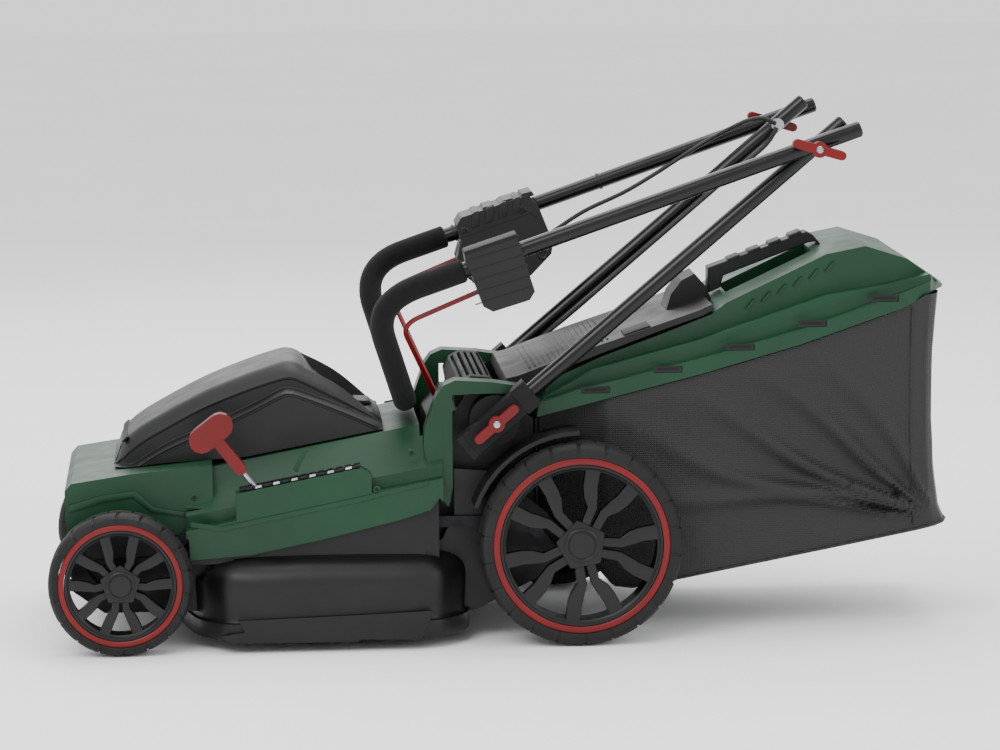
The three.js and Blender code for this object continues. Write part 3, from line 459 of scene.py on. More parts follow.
def rim(node, ring_inner, turn, spine, widths, hub_r):
    """Barrel, hub, five-sided plate and five pairs of kinked arms, first drawn with the face towards -Y.
    spine is an arm's middle line as (distance from the hub, offset from the pair's axis)."""
    mid, _, half, out = wheel_box(node)
    face = -half - 0.002
    inner = ring_inner - 0.005
    barrel = revolved(node, [(ring_inner - 0.0004, face + 0.0025), (ring_inner - 0.0012, face + 0.0018),
                             (inner + 0.0014, face + 0.0022), (inner, face + 0.004),
                             (inner - 0.0022, face + 0.0055), (inner - 0.0022, face + 0.0062),
                             (inner, face + 0.0075), (inner, half - 0.001), (ring_inner - 0.0004, half)], 144)
    hub = revolved(node, [(hub_r, face + 0.006), (hub_r - 0.0015, face + 0.0045), (hub_r * 0.55, face + 0.0045),
                          (hub_r * 0.55, half - 0.004), (hub_r - 0.002, half - 0.004), (hub_r, half - 0.006)], 60)
    parts = [barrel, hub]

    def plate(points, angle, y0, y1, bevel):
        c, s = math.cos(angle), math.sin(angle)
        corners = [(x * c - z * s, y1, x * s + z * c) for x, z in points]
        parts.append(drawn_through(node, corners, (0, y0 - y1, 0), bevel, 3))

    plate_r = hub_r * 1.5
    corner_angles = [math.pi / 5 + k * 2 * math.pi / 5 for k in range(5)]
    five = [(plate_r * math.cos(a), plate_r * math.sin(a)) for a in corner_angles]
    plate(five, turn, face + 0.0035, face + 0.009, 0.0012)
    for k in range(5):
        for lean in (-1, 1):
            one, other = [], []
            for i, ((r, off), w) in enumerate(zip(spine, widths)):
                a, b = spine[max(i - 1, 0)], spine[min(i + 1, len(spine) - 1)]
                d = Vector((b[0] - a[0], b[1] - a[1])).normalized()
                n = Vector((-d.y, d.x))
                one.append(((r + n.x * w / 2) / 1000, lean * (off + n.y * w / 2) / 1000))
                other.append(((r - n.x * w / 2) / 1000, lean * (off - n.y * w / 2) / 1000))
            outline = (one + other[::-1])[::lean]
            plate(outline, turn + k * 2 * math.pi / 5, face + 0.005, face + 0.017, 0.0016)
    mesh = joined(node + "_spoked", parts)
    spin = Matrix.Rotation(math.pi if out > 0 else 0.0, 4, "Z")
    mesh.transform(Matrix.Translation(mid) @ spin)
    piece(node + "_spoked", mesh, RIM, bodies_of[node], node, smooth=32)


# Arms' middle lines and widths are in millimetres, the turn in degrees, the rest in metres.
WHEELS = {
    "rear": {"blocks": 22, "side_height": 0.0155, "ring_width": 0.0079, "ring_inner": 0.0965, "turn": 64,
             "spine": [(22, 6.6), (45, 7.8), (58, 15.8), (67, 20.6), (92, 28)],
             "widths": [10.4, 11.2, 16.5, 17, 18.5], "hub_radius": 0.0205},
    "front": {"blocks": 18, "side_height": 0.0114, "ring_width": 0.0069, "ring_inner": 0.066, "turn": 54,
              "spine": [(17, 5.2), (29, 6.2), (38, 11.6), (45, 15), (61.5, 21.5)],
              "widths": [8, 8.8, 12, 12.5, 13.5], "hub_radius": 0.0165},
}
for end, w in WHEELS.items():
    for hand in ("left", "right"):
        rim(f"rim_{end}_{hand}", w["ring_inner"], math.radians(w["turn"]), w["spine"], w["widths"],
            w["hub_radius"])
        tyre(f"tyre_{end}_{hand}", w["blocks"], w["side_height"])
        trim_ring(f"trim_ring_{end}_{hand}", w["ring_width"])
        hub_cap(f"hub_cap_{end}_{hand}")


# ---- handle tubes, grip, bail and cable ----------------------------------------------------------
CLAMP, FOLD = (-97, 262), (281, 580)
LOWER_Y, UPPER_Y, TUBE_R, GRIP_R, CABLE_R = 165, 186, 0.0095, 0.014, 0.0027
LEG_RISE, LEG_END = 0.34, 332
reach = math.hypot(FOLD[0] - CLAMP[0], FOLD[1] - CLAMP[1])
along = ((FOLD[0] - CLAMP[0]) / reach, (FOLD[1] - CLAMP[1]) / reach)


def lower_point(t, y):
    """Point on a lower tube's line, t millimetres past the clamp."""
    return at(CLAMP[0] + t * along[0], y, CLAMP[1] + t * along[1])


def leg_z(x):
    """Height of the upper tube's legs at x."""
    return 444 + LEG_RISE * (x + 134)


def mirrored(half):
    """The points, followed by their mirror images on the other side of the mower."""
    return half + [Vector((p.x, -p.y, p.z)) for p in reversed(half)]


def u_points(start_x):
    """Corners of the upper tube's line, from one leg at start_x round to the other leg."""
    bend_x = -240.6
    return mirrored([at(start_x, -UPPER_Y, leg_z(start_x)), at(bend_x, -UPPER_Y, leg_z(bend_x)), at(-198, -96, 273)])


def bore_shade(name, point, axis, body):
    """Dark disc on a tube's closed end, painting the shade inside its open bore."""
    mesh = disc(name, point, axis, [(0.01, 0), (7.2, 0), (7.2, 0.3), (0.01, 0.3)])
    piece(name, mesh, CABLE, body, smooth=30)


BENDS = (0.058, 0.060, 0.060, 0.058)
for hand, side in (("left", -1), ("right", 1)):
    y = side * LOWER_Y
    mesh = tube(f"lower_tube_{hand}_round", [lower_point(-40, y), lower_point(reach + 45, y)], TUBE_R)
    piece(f"lower_tube_{hand}_round", mesh, PAINT, "lower_handle", f"lower_tube_{hand}", smooth=40)
    # A dark disc paints the shade inside the tube's open end.
    bore_shade(f"lower_tube_{hand}_bore", lower_point(reach + 45.2, y), (along[0], 0, along[1]), "lower_handle")

mesh = tube("upper_tube_round", rounded_line(u_points(LEG_END), BENDS), TUBE_R, 32)
piece("upper_tube_round", mesh, PAINT, "upper_handle", "upper_tube", smooth=40)
leg = Vector((1, 0, LEG_RISE)).normalized()
# Dark discs at the legs' open ends paint the shade inside the bores.
for side in (-1, 1):
    end = at(LEG_END, side * UPPER_Y, leg_z(LEG_END)) + leg * 0.0002
    bore_shade(f"upper_tube_bore_{side + 1}", end, leg, "upper_handle")


def foam_swell(run):
    """The sleeve is a little uneven along its length."""
    return 1.0 + 0.012 * noise.noise(Vector((run * 22, 3.1, 0.7)))


mesh = tube("foam_sleeve", rounded_line(u_points(-133), BENDS), GRIP_R, 40, foam_swell)
sleeve = piece("foam_sleeve", mesh, FOAM, "upper_handle", "foam_grip", smooth=60)

wire = mirrored([at(-92, -177, 428), at(-207, -177, 380), at(-157, -68, 269)])
mesh = tube("bail_wire", rounded_line(wire, (0.024, 0.040, 0.040, 0.024), 10), 0.003, 20)
piece("bail_wire", mesh, RED_WIRE, "bail", "bail", smooth=40)


def smooth_run(points, per=6):
    """Catmull-Rom curve through points in millimetres."""
    pts = [at(*p) for p in points]
    pts = [pts[0] * 2 - pts[1]] + pts + [pts[-1] * 2 - pts[-2]]
    out = []
    for a, b, c, d in zip(pts, pts[1:], pts[2:], pts[3:]):
        for k in range(per):
            t = k / per
            bend, twist = 2 * a - 5 * b + 4 * c - d, 3 * b - a - 3 * c + d
            out.append(0.5 * (2 * b + (c - a) * t + bend * t * t + twist * t ** 3))
    return out + [pts[-2]]


UPPER_RUN = [(-1, 172, 448), (40, 172, 474), (90, 171, 497), (130, 171, 520), (165, 171, 542), (194, 166, 560),
             (212, 156, 571), (228, 149.5, 580), (244, 146.5, 587), (262, 146, 589), (277.9, 146, 581.8)]
LOWER_RUN = [(279.2, 146, 576.9), (275, 146, 569), (262, 148, 552), (220, 149, 517), (150, 149, 458),
             (80, 149, 399), (10, 149, 340), (-40, 148.5, 303), (-58, 146, 293.5)]
mesh = tube("cable_upper_sheath", smooth_run(UPPER_RUN), CABLE_R, 14)
piece("cable_upper_sheath", mesh, CABLE, "upper_handle", "cable_upper", smooth=50)
mesh = tube("cable_lower_sheath", smooth_run(LOWER_RUN), CABLE_R, 14)
piece("cable_lower_sheath", mesh, CABLE, "lower_handle", "cable_lower", smooth=50)

# ---- moulded pieces that keep the CAD shape, with rounded edges ----------------------------------
for node, width in (("top_cover", 0.0016), ("deck_shell", 0.0012), ("rear_flap", 0.0014),
                    ("bag_lid", 0.0014), ("bag_carry_handle", 0.002), ("switch_box", 0.0018), ("bail_mount", 0.0022),
                    ("bracket_bridge", 0.0012), ("height_lever_grip", 0.0025), ("bag_mouth_frame", 0.0008)):
    softened(node, width)
for hand in ("left", "right"):
    softened(f"handle_clamp_{hand}", 0.001)
    softened(f"wing_lever_clamp_{hand}", 0.0018)
    softened(f"wing_lever_fold_{hand}", 0.0018)


# ---- grass bag -----------------------------------------------------------------------------------
def along_line(line, x):
    """Height of a line of points at x."""
    for (x0, z0), (x1, z1) in zip(line, line[1:]):
        if x <= x1:
            t = max(0.0, (x - x0) / (x1 - x0))
            return z0 + (z1 - z0) * t
    return line[-1][1]


BAG_BOTTOM = [(-42, 138), (-6, 118), (44, 60), (66, 57), (119, 66), (320, 103), (447, 127), (451, 128)]
BAG_TOP = [(-47, 262.5), (147, 309.5), (266, 342.5), (385, 382.5), (425, 400.5), (452, 402)]
BAG_REAR = [(120, 447), (127, 446), (145, 438), (190, 432), (250, 429), (330, 430), (395, 436), (410, 438)]
# The plan's rear end, and the stretch before it over which the cloth is pulled to the rear outline.
BAG_END, PULL_START, PULL_LENGTH = 450, 360, 90
BAG_PLAN = [(-42, 117), (14, 136), (36, 145.5), (410, 145.5), (430, 143), (443, 134), (449, 118),
            (BAG_END, 60), (BAG_END, 0)]
TIP = Vector((447, 127))  # the lower rear corner, from which the folds fan out
# Each fold's angle above the corner's level and its half width, in radians, and its depth in millimetres.
FOLDS = ((0.14, 0.035, 12.5), (0.27, 0.04, 15.0), (0.43, 0.045, 14.5), (0.66, 0.06, 12.5), (0.95, 0.08, 9.0))


def cloth_z(x, v):
    """Height of the cloth at x, from the floor's edge (v = 0) to the lid (v = 1)."""
    low, high = along_line(BAG_BOTTOM, x), along_line(BAG_TOP, x)
    return low + (high - low) * v


def cloth_x(x, z):
    """Where the cloth stands at x once its rear end follows the bag's rear outline."""
    w = max(0.0, min(1.0, (x - PULL_START) / PULL_LENGTH))
    return x - (BAG_END - along_line(BAG_REAR, z)) * w * w


def cloth_push(x, z, v, side):
    """How far the cloth stands in (-) or out (+) from its plane, in millimetres."""
    d = Vector((x, z)) - TIP
    reach, angle = d.length, math.atan2(d.y, -d.x)
    folds = 0.0
    for k, (where, wide, deep) in enumerate(FOLDS):
        bend = where + 0.05 * math.sin(reach / 60 + k * 1.7 + side)
        ridge = math.exp(-((angle - bend) / wide) ** 2)
        fade = -((reach - 140) / (185 - 14 * k)) ** 2 if reach > 140 else 0
        grown = min(1.0, reach / 60) * math.exp(fade)
        folds += deep * ridge * grown
    hollow = -5.0 * math.sin(math.pi * min(1.0, v)) * math.sin(math.pi * min(1.0, max(0.0, (x + 20) / 460)))
    wide_ripple = 0.8 * noise.noise(Vector((x / 42, z / 55, 4.2 + side * 3)))
    ripple = wide_ripple + 0.45 * noise.noise(Vector((x / 15, z / 21, side)))
    return (folds + hollow + ripple) * min(1.0, v * 7, (1 - v) * 7 + 0.1)


def bag_cloth():
    """One sheet: the two sides and the rear, and the floor between their lower edges."""
    half = []
    for (x0, y0), (x1, y1) in zip(BAG_PLAN, BAG_PLAN[1:]):
        steps = max(1, round(math.hypot(x1 - x0, y1 - y0) / 5))
        half += [(x0 + (x1 - x0) * k / steps, y0 + (y1 - y0) * k / steps) for k in range(steps)]
    plan = [(x, -y) for x, y in half] + [BAG_PLAN[-1]] + list(reversed(half))
    levels = 56
    bm = bmesh.new()
    rows = []
    for x, y in plan:
        side = -1 if y < 0 else 1
        rear = max(0.0, min(1.0, (x - 425) / 22))  # how much of the push goes to the rear
        row = []
        for k in range(levels + 1):
            v = k / levels
            z = cloth_z(x, v)
            push = cloth_push(x, z, v, side)
            pushed_y = y + side * push * (1 - rear) if abs(y) > 20 else y
            row.append(bm.verts.new(at(cloth_x(x, z) + push * 0.6 * rear, pushed_y, z)))
        rows.append(row)
    for a, b in zip(rows, rows[1:]):
        for k in range(levels):
            bm.faces.new((a[k], b[k], b[k + 1], a[k + 1]))
    # The floor, arched a little between its two side seams.
    count, across = len(half), 24
    strips = []
    for i in range(count + 1):
        p, q = rows[i][0], rows[len(rows) - 1 - i][0]
        if p == q:
            strips.append([p] * (across + 1))
            continue
        line = [p]
        for k in range(1, across):
            t = k / across
            c = p.co.lerp(q.co, t)
            arch = 0.004 * math.sin(math.pi * t) ** 0.6 * min(1.0, i / 12)
            c.z += arch + 0.0009 * noise.noise(c * 40)
            line.append(bm.verts.new(c))
        strips.append(line + [q])
    for a, b in zip(strips, strips[1:]):
        for k in range(across):
            ring = list(dict.fromkeys((a[k], a[k + 1], b[k + 1], b[k])))
            if len(ring) > 2:
                bm.faces.new(ring)
    seam = [row[0].co.copy() for row in rows]
    mesh = from_bmesh(bm, "bag_cloth")
    area = sum(f.area for f in mesh.polygons)
    obj = piece("bag_cloth", mesh, CLOTH, "bag", "bag_fabric", smooth=70)
    return obj, area, seam


cloth, cloth_area, seam = bag_cloth()
# Bound edge along the bottom seam, sewn seams near the rear corners and the tab at the back.
binding = tube("bag_binding", seam, 0.0019, 10)
piece("bag_binding", binding, CLOTH, "bag", smooth=60)
for side in (-1, 1):
    x, cuts, line = 404, 28, []
    for k in range(cuts + 1):
        v = 0.02 + 0.96 * k / cuts
        z = cloth_z(x, v)
        line.append(at(cloth_x(x, z), side * (145.7 + cloth_push(x, z, v, side)), z))
    name = f"bag_seam_{side + 1}"
    piece(name, tube(name, line, 0.0011, 8), CLOTH, "bag", smooth=60)
tab = slab("bag_tab", [(427, 268), (437, 264), (441, 270), (441, 304), (437, 311), (428, 308)], -14, 14, 0.0012)
piece("bag_tab", tab, CLOTH, "bag", smooth=40)


# ---- motor hood: a smooth crowned shell over a wider ledge, with a forked rear end ---------------
def smooth_line(points, per=8):
    """Points in X and Z, rounded by a Catmull-Rom curve."""
    flat = smooth_run([(x, 0, z) for x, z in points], per)
    return [((p.x - AXIS_X) * 1000, p.z * 1000) for p in flat]


HOOD_TOP = smooth_line([(-547, 196), (-541, 222), (-532, 237), (-514, 252), (-490, 266), (-442, 291), (-395, 310),
                        (-352, 324), (-335, 326.5), (-318, 320), (-275, 296), (-227, 254)])
HOOD_LEDGE = smooth_line([(-547, 190), (-533, 199), (-525, 206), (-485, 230), (-437, 251), (-384, 275), (-348, 293),
                          (-336, 295), (-322, 291), (-277, 273), (-227, 250)])
HOOD_FOOT = [(-548, 206), (-537, 206), (-486, 211.2), (-391, 216.7), (-325, 228.7), (-227, 246.7), (-226, 246.8)]


def hood_section(x):
    """Half of the hood's outline across the mower at x, from the middle to the foot."""
    foot = along_line(HOOD_FOOT, x) - 0.6
    top = max(along_line(HOOD_TOP, x), foot + 1)
    ledge = max(min(along_line(HOOD_LEDGE, x), top - 1.5), foot)
    sink = 0.0
    if x > -322:
        floor = 296 + (x + 300) * (264 - 296) / 38 if x < -262 else 264
        sink = max(0.0, top - max(floor, foot + 1)) * min(1.0, (x + 322) / 14)
    shoulder = min(19.0, max(0.0, top - ledge) * 0.7)
    groove = 1.6 if top - ledge > 6 else 0.0
    return [(0, top - sink), (30, top - 0.4 - sink), (58, top - 1.6 - sink), (64, top - 2.4 - sink), (66, top - 3.5),
            (70, top - 5), (80, top - shoulder * 0.78), (83.2, top - shoulder), (83.2 - groove, top - shoulder - 0.8),
            (83.2 - groove, top - shoulder - 2.2), (84, top - shoulder - 3.0 if top - ledge > 6 else top - shoulder),
            (84.4, ledge + 2.0), (85.6, ledge + 0.6), (88, ledge), (97, ledge - 2.2), (100.6, ledge - 4.4),
            (101.4 - groove, ledge - 6.4), (101.6 - groove, ledge - 8.0), (102, ledge - 9.2), (102, foot)]


def hood():
    """Shell of the motor hood, closed down to its foot at both ends, with its small pieces."""
    cuts = 96
    xs = [-546.5 + 320.0 * (k / cuts) for k in range(cuts + 1)]
    bm = bmesh.new()
    rows = []
    for x in xs:
        half = hood_section(x)
        pull = max(0.0, (-520 - x) / 27) ** 2 * 16  # the nose is rounded in plan
        full = [(max(0.0, y - (pull if y > 60 else 0)), z) for y, z in half]
        foot = along_line(HOOD_FOOT, x) - 0.6
        full = [(y, max(z, foot)) for y, z in full]
        outline = [(-y, z) for y, z in reversed(full)] + full[1:]
        rows.append([bm.verts.new(at(x, y, z)) for y, z in outline])
    for a, b in zip(rows, rows[1:]):
        for k in range(len(a) - 1):
            bm.faces.new((a[k], b[k], b[k + 1], a[k + 1]))
    for row in (rows[0], rows[-1]):
        foot = min(v.co.z for v in row)
        low = [bm.verts.new((v.co.x, v.co.y, foot)) for v in row]
        for k in range(len(row) - 1):
            bm.faces.new((row[k], row[k + 1], low[k + 1], low[k]))
    bmesh.ops.remove_doubles(bm, verts=bm.verts[:], dist=1e-5)
    bmesh.ops.dissolve_degenerate(bm, edges=bm.edges[:], dist=1e-5)
    piece("hood_shell", from_bmesh(bm, "hood_shell"), CHARCOAL, "deck", "motor_hood", smooth=26)
    # Air slots at the front edge, as black slabs that paint the shade inside the openings, and the catch in the
    # fork's floor.
    for k in range(9):
        y = -64 + 16 * k
        detail(f"hood_air_slot_shade_{k}", [(-537, 232.6), (-531, 238.8), (-529.4, 237.6), (-535, 231.4)],
               y - 5, y + 5, "deck", "black_plastic", 0.0003)
    detail("hood_catch", [(-258, 264.2), (-258, 270), (-240, 268.5), (-236, 264.2)], -22, 22,
           "deck", "black_plastic", 0.0012)


hood()


# ---- bulged blade chamber and its skirt ----------------------------------------------------------
def chamber_plan(d):
    """The chamber's outline seen from above, drawn in by d millimetres, or out where d is negative."""
    x0, x1, y, c = -462 + d, -134 - d, 200 - d, 62 - 0.4 * d
    half = [(x0, -y + 2 * c), (x0 + 0.3 * c, -y + 0.7 * c), (x0 + 0.9 * c, -y), (x1 - 0.7 * c, -y),
            (x1 - 0.1 * c, -y + 0.7 * c), (x1, -y + 2 * c)]
    ring = half + [(x, -w) for x, w in reversed(half)]
    for _ in range(3):
        cut = []
        for (ax, ay), (bx, by) in zip(ring, ring[1:] + ring[:1]):
            cut.append((ax * 0.86 + bx * 0.14, ay * 0.86 + by * 0.14))
            cut.append((ax * 0.14 + bx * 0.86, ay * 0.14 + by * 0.86))
        ring = cut
    return ring


def chamber_skin():
    """Bulged side wall of the chamber, and the guard on its skirt at both sides."""
    # How far the outline is drawn in, and its height, in millimetres.
    profile = [(-5.2, 14.1), (-9.4, 14.0), (-10.2, 16), (-10.2, 31), (-9.4, 33.8), (-6.5, 35.2), (-5.0, 38),
               (-5.6, 52), (-6.4, 66), (-6.8, 76), (-6.2, 84), (-3.6, 91.5), (2.5, 98.5), (11, 103.4),
               (21, 106.5), (31, 108.5)]
    bm = bmesh.new()
    rings = []
    for d, z in profile:
        plan = chamber_plan(d)
        ring = []
        for x, y in plan:
            swell = max(0.0, 1 - abs((z - 84) / 34)) * max(0.0, abs(y) - 120) / 90
            height = z + 5.5 * swell * (math.cos((x + 298) / 300 * 4 * math.pi) * 0.5 + 0.1)
            # The link bar passes above this corner.
            if -168 < y < -130 and x < -372:
                height = min(height, 81.5 + max(0.0, x + 440) * 45 / 56)
            ring.append(bm.verts.new(at(x, y, height)))
        rings.append(ring)
    bridged(bm, rings)
    bmesh.ops.remove_doubles(bm, verts=bm.verts[:], dist=WELD)
    piece("chamber_skin", from_bmesh(bm, "chamber_skin"), GLOSSY, "deck", smooth=35)
    for side in (-1, 1):
        y = side * 208.5
        detail(f"skirt_guard_{side + 1}", [(-404, 40), (-396, 26), (-425, 22), (-412, 12.5), (-262, 11.5), (-262, 14),
                                           (-190, 12.5), (-178, 38), (-176, 47), (-250, 44)],
               y - side * 3, y + side * 3.4, "deck", "black_plastic", 0.0012, GLOSSY)


chamber_skin()


# ---- small moulded details -----------------------------------------------------------------------
def screw(name, x, y, z, side, r, body):
    """Screw head in its counterbore, facing out along Y."""
    mesh = disc(name, at(x, y, z), (0, side, 0), [(0.01, 0), (r, 0), (r, 0.6), (r * 0.86, 1.1), (r * 0.3, 1.3),
                                                  (r * 0.28, 0.5), (0.01, 0.5)], 28)
    piece(name, mesh, DARK_STEEL, body, smooth=30)
    well = disc(name + "_well", at(x, y, z), (0, side, 0), [(r * 1.1, 0), (r * 1.9, 0), (r * 1.9, 0.3),
                                                            (r * 1.5, 0.8), (r * 1.1, 0.6)], 32)
    look, slot = (GREEN, "green_plastic") if body == "deck" else (CHARCOAL, "grey_plastic")
    piece(name + "_well", well, look, body, smooth=30)


# Notched strip beside the lever: dark teeth with bright caps between them.
slope = (211.5 - 184) / (403 - 256)
for k in range(13):
    x = -391 + k * 10.6
    z = 184 + slope * (x + 403) + 2.6
    detail(f"gate_tooth_{k}", [(x, z - 1.5), (x + 0.3, z + 1.5), (x + 7.3, z + 2.9), (x + 7.6, z - 0.1)],
           -172.5, -168.5, "deck", "zinc_steel" if k % 2 else "black_plastic", 0.0004)
    detail(f"gate_step_{k}", [(x, z - 1.5), (x + 0.3, z + 1.3), (x + 7.3, z + 2.7), (x + 7.6, z - 0.1)],
           -155.8, -152.5, "deck", "black_plastic", 0.0004)
# Pockets, ribs, bosses and creases of the cover. The pockets are only on the far side, because the
# lever's grip passes through their place on the near side.
POCKETS = ((-262, 228, 17, 15), (-238, 235, 13, 12), (-214, 241, 13, 7))
for side in (-1, 1):
    y = side * 157.6
    for k, (x, z, w, h) in enumerate(POCKETS if side > 0 else ()):
        detail(f"cover_pocket_{side + 1}_{k}", [(x, z - h), (x, z), (x + w, z + w * 0.19), (x + w, z - h + w * 0.19)],
               y, y + side * 1.1, "deck", "green_plastic", 0.001)
    screw(f"cover_boss_{side + 1}", -196, side * 158.2, 226, side, 2.3, "deck")
    screw(f"cover_low_boss_{side + 1}", -238, side * 176.2, 186, side, 2.1, "deck")
    screw(f"nose_boss_{side + 1}", -452, side * 146.2, 176, side, 2.0, "deck")
    detail(f"cover_rib_{side + 1}", [(-331, 205), (-336, 209), (-322, 232), (-317, 233)],
           y, y + side * 1.5, "deck", "green_plastic")
    # The crease that runs over the wheel from the nose to the lever box.
    detail(f"nose_crease_{side + 1}", [(-600, 170), (-560, 181), (-520, 186), (-500, 166), (-455, 158), (-455, 152),
                                       (-503, 159), (-524, 177), (-560, 172), (-600, 161)],
           side * 145.6, side * 148.6, "deck", "green_plastic", 0.0014)
    detail(f"cover_lower_step_{side + 1}", [(-457, 152), (-420, 146), (-256, 178), (-178, 195), (-178, 190),
                                            (-256, 172), (-420, 140), (-457, 146)],
           side * 175.6, side * 177.6, "deck", "green_plastic", 0.0009)
# Five openings of the lid's rim, whose dark insides are painted shade on black slabs, with a bar across each, and the
# notches above them.
for side in (-1, 1):
    y = -148.4 if side < 0 else 149.7  # the near side's slots are cut into the lid
    for k in range(5):
        x, z = 6 + k * 86, 291 + k * 22 + k * k * 0.9
        detail(f"lid_slot_shade_{side + 1}_{k}", [(x + 0.2, z + 0.2), (x + 0.2, z + 7.8), (x + 33.8, z + 7.8),
                                            (x + 33.8, z + 0.2)],
               y, y + side * 0.5, "bag", "black_plastic", 0.0001)
        detail(f"lid_bar_{side + 1}_{k}", [(x + 4, z + 3), (x + 4, z + 5.2), (x + 30, z + 5.2), (x + 30, z + 3)],
               y, y + side * 1.2, "bag", "grey_plastic", 0.0003)
    for k in range(6):
        x, z = 205 + 19 * k, 383 + 8.6 * k
        detail(f"lid_notch_{side + 1}_{k}", [(x, z), (x + 9, z + 11), (x + 13, z + 12.6), (x + 5, z + 1.4)],
               side * (113 - k * 0.2), side * (116.4 - k * 0.2), "bag", "green_plastic", 0.0009)
# Raised pads on the carry handle.
for k in range(4):
    x = 196 + 25 * k
    z = 433.5 + (x - 190) * 0.37
    detail(f"carry_pad_{k}", [(x, z - 8), (x + 1.5, z - 3.2), (x + 15.5, z + 1.9), (x + 17, z - 2.4)],
           -14.7, 14.7, "bag", "black_plastic", 0.0012)
# Flap: fine ribs across the front end, and a patch.
for k in range(16):
    x = -52 + k * 6.2
    z = 309 + (x + 66) * 0.365 + (1.0 if k < 2 else 0)
    detail(f"flap_rib_{k}", [(x, z - 1.6), (x + 0.6, z + 0.55), (x + 2.6, z + 1.25), (x + 3.2, z - 0.6)],
           -96, 96, "flap", "grey_plastic", 0.0004, CHARCOAL)
detail("flap_patch", [(60, 351), (61, 355.4), (92, 365.8), (94, 361)], -112, -70, "flap", "grey_plastic", 0.0008)
# Switch box: gripping bumps on top, two screws and a moulded line on both faces, the lead's round inlet.
for k in range(4):
    x, z = -104 + 17 * k, 474 + 5.6 * k
    detail(f"switch_bump_{k}", [(x, z - 16), (x + 1.5, z + 3), (x + 5, z + 5.4), (x + 9.5, z + 6.4),
                                (x + 11.5, z + 4), (x + 10.5, z - 13)],
           136.6, 205.2, "upper_handle", "grey_plastic", 0.0022, CHARCOAL)
for name, x, z in (("a", -112, 455), ("b", -40, 480)):
    screw(f"switch_screw_{name}", x, 138, z, -1, 2.6, "upper_handle")
    screw(f"switch_screw_out_{name}", x, 204, z, 1, 2.6, "upper_handle")
for side, y in ((-1, 138), (1, 204)):
    detail(f"switch_line_{side + 1}", [(-118, 446), (-30, 476), (-24, 470), (-22, 471.5), (-29, 479),
                                       (-118.6, 448.6)],
           y - 0.2 * side, y + 0.9 * side, "upper_handle", "black_plastic", 0.0003)
inlet = disc("inlet_ring", at(-15, 137.9, 425), (0, -1, 0), [(3.4, 0), (7, 0), (7, 1.2), (5.6, 2), (3.4, 1.2)])
piece("inlet_ring", inlet, BLACK, "upper_handle", smooth=30)
# Bail mount: thin dark slabs that paint the shade in long moulded grooves over its face, and a brighter top.
for k in range(5):
    z = 469 - 13 * k
    detail(f"mount_groove_shade_{k}", [(-128 + k * 1.5, z - 12), (-128 + k * 1.5, z - 10.4), (-62 + k, z + 8.6),
                               (-62 + k, z + 7)],
           -204.9, -203.6, "upper_handle", "black_plastic", 0.0003)
detail("mount_cap", [(-134.4, 464), (-134, 468), (-73, 488), (-70, 484)], -205.5, -164.5,
       "upper_handle", "grey_plastic", 0.0014)
# Cable ties around the far leg, and the caps on the bolts of clamps and folds.
for name, x in (("a", -122), ("b", 60)):
    ring = disc(f"cable_tie_{name}", at(x, UPPER_Y, leg_z(x)), leg,
                [(9.5, -1.6), (10.6, -1.6), (10.6, 1.6), (9.5, 1.6)])
    piece(f"cable_tie_{name}", ring, BLACK, "upper_handle", smooth=30)
for hand, side in (("left", -1), ("right", 1)):
    for where, (x, z), y in (("clamp", CLAMP, 191.1), ("fold", FOLD, 209.1)):
        cap = disc(f"bolt_cap_{where}_{hand}", at(x, side * (y - 1), z), (0, side, 0),
                   [(0.01, 0), (4.4, 0), (4.4, 0.8), (3.6, 1.9), (1.4, 2.1), (1.2, 1.1), (0.01, 1.1)], 30)
        piece(f"bolt_cap_{where}_{hand}", cap, STEEL, "lower_handle", smooth=30)


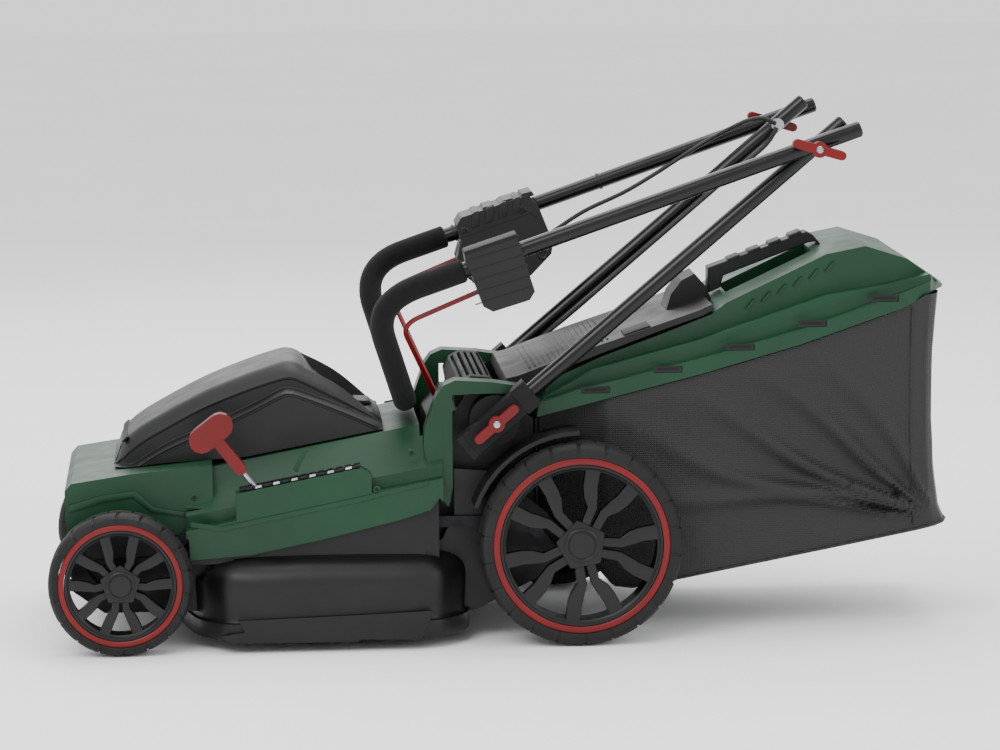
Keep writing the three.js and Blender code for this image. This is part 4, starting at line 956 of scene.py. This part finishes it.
# ---- camera, light and floor ---------------------------------------------------------------------
def camera():
    """A long lens, looking almost straight across the mower and a little down."""
    yaw, pitch, roll = math.radians(4.03), math.radians(8.08), math.radians(-0.55)
    forward = Vector((math.sin(yaw) * math.cos(pitch), math.cos(yaw) * math.cos(pitch), -math.sin(pitch)))
    right = Vector((math.cos(yaw), -math.sin(yaw), 0))
    up = right.cross(forward)
    x = right * math.cos(roll) + up * math.sin(roll)
    y = up * math.cos(roll) - right * math.sin(roll)
    data = bpy.data.cameras.new("view")
    data.lens, data.sensor_width, data.clip_end = 152.0, 36.0, 60.0
    obj = bpy.data.objects.new("view", data)
    bpy.context.scene.collection.objects.link(obj)
    turn = Matrix((x, y, -forward)).transposed().to_4x4()
    obj.matrix_world = Matrix.Translation(at(-436, -5061, 1014)) @ turn
    bpy.context.scene.camera = obj


def lamp(name, place, aim, power, size, size_y=None):
    """Area lamp that looks from its place to the aim. Metres and watts."""
    data = bpy.data.lights.new(name, "AREA")
    data.energy, data.size = power, size
    if size_y:
        data.shape, data.size_y = "RECTANGLE", size_y
    obj = bpy.data.objects.new(name, data)
    bpy.context.scene.collection.objects.link(obj)
    obj.location = place
    obj.rotation_euler = (Vector(aim) - Vector(place)).to_track_quat("-Z", "Y").to_euler()


def studio():
    """Floor, world light and four lamps."""
    floor_half, floor_drop = 12, 0.0005
    bm = bmesh.new()
    bmesh.ops.create_grid(bm, x_segments=1, y_segments=1, size=floor_half)
    floor = bpy.data.objects.new("studio_floor", from_bmesh(bm, "studio_floor"))
    bpy.context.scene.collection.objects.link(floor)
    floor.data.materials.append(pale_floor())
    floor.location.z = -floor_drop
    world = bpy.data.worlds.new("studio")
    world.use_nodes = True
    light = world.node_tree.nodes["Background"].inputs
    light["Color"].default_value = (0.97, 0.98, 1.0, 1)
    light["Strength"].default_value = 1.3
    bpy.context.scene.world = world
    lamp("key", (-1.4, -2.2, 2.6), (0, 0, 0.25), 62, 1.8)
    lamp("fill", (2.2, -2.0, 1.6), (0, 0, 0.3), 22, 1.4)
    lamp("top", (0.2, 0.4, 3.0), (0, 0, 0.2), 52, 2.4, 1.2)
    lamp("back", (-0.5, 2.6, 2.2), (0, 0, 0.3), 36, 2.2)


camera()
studio()
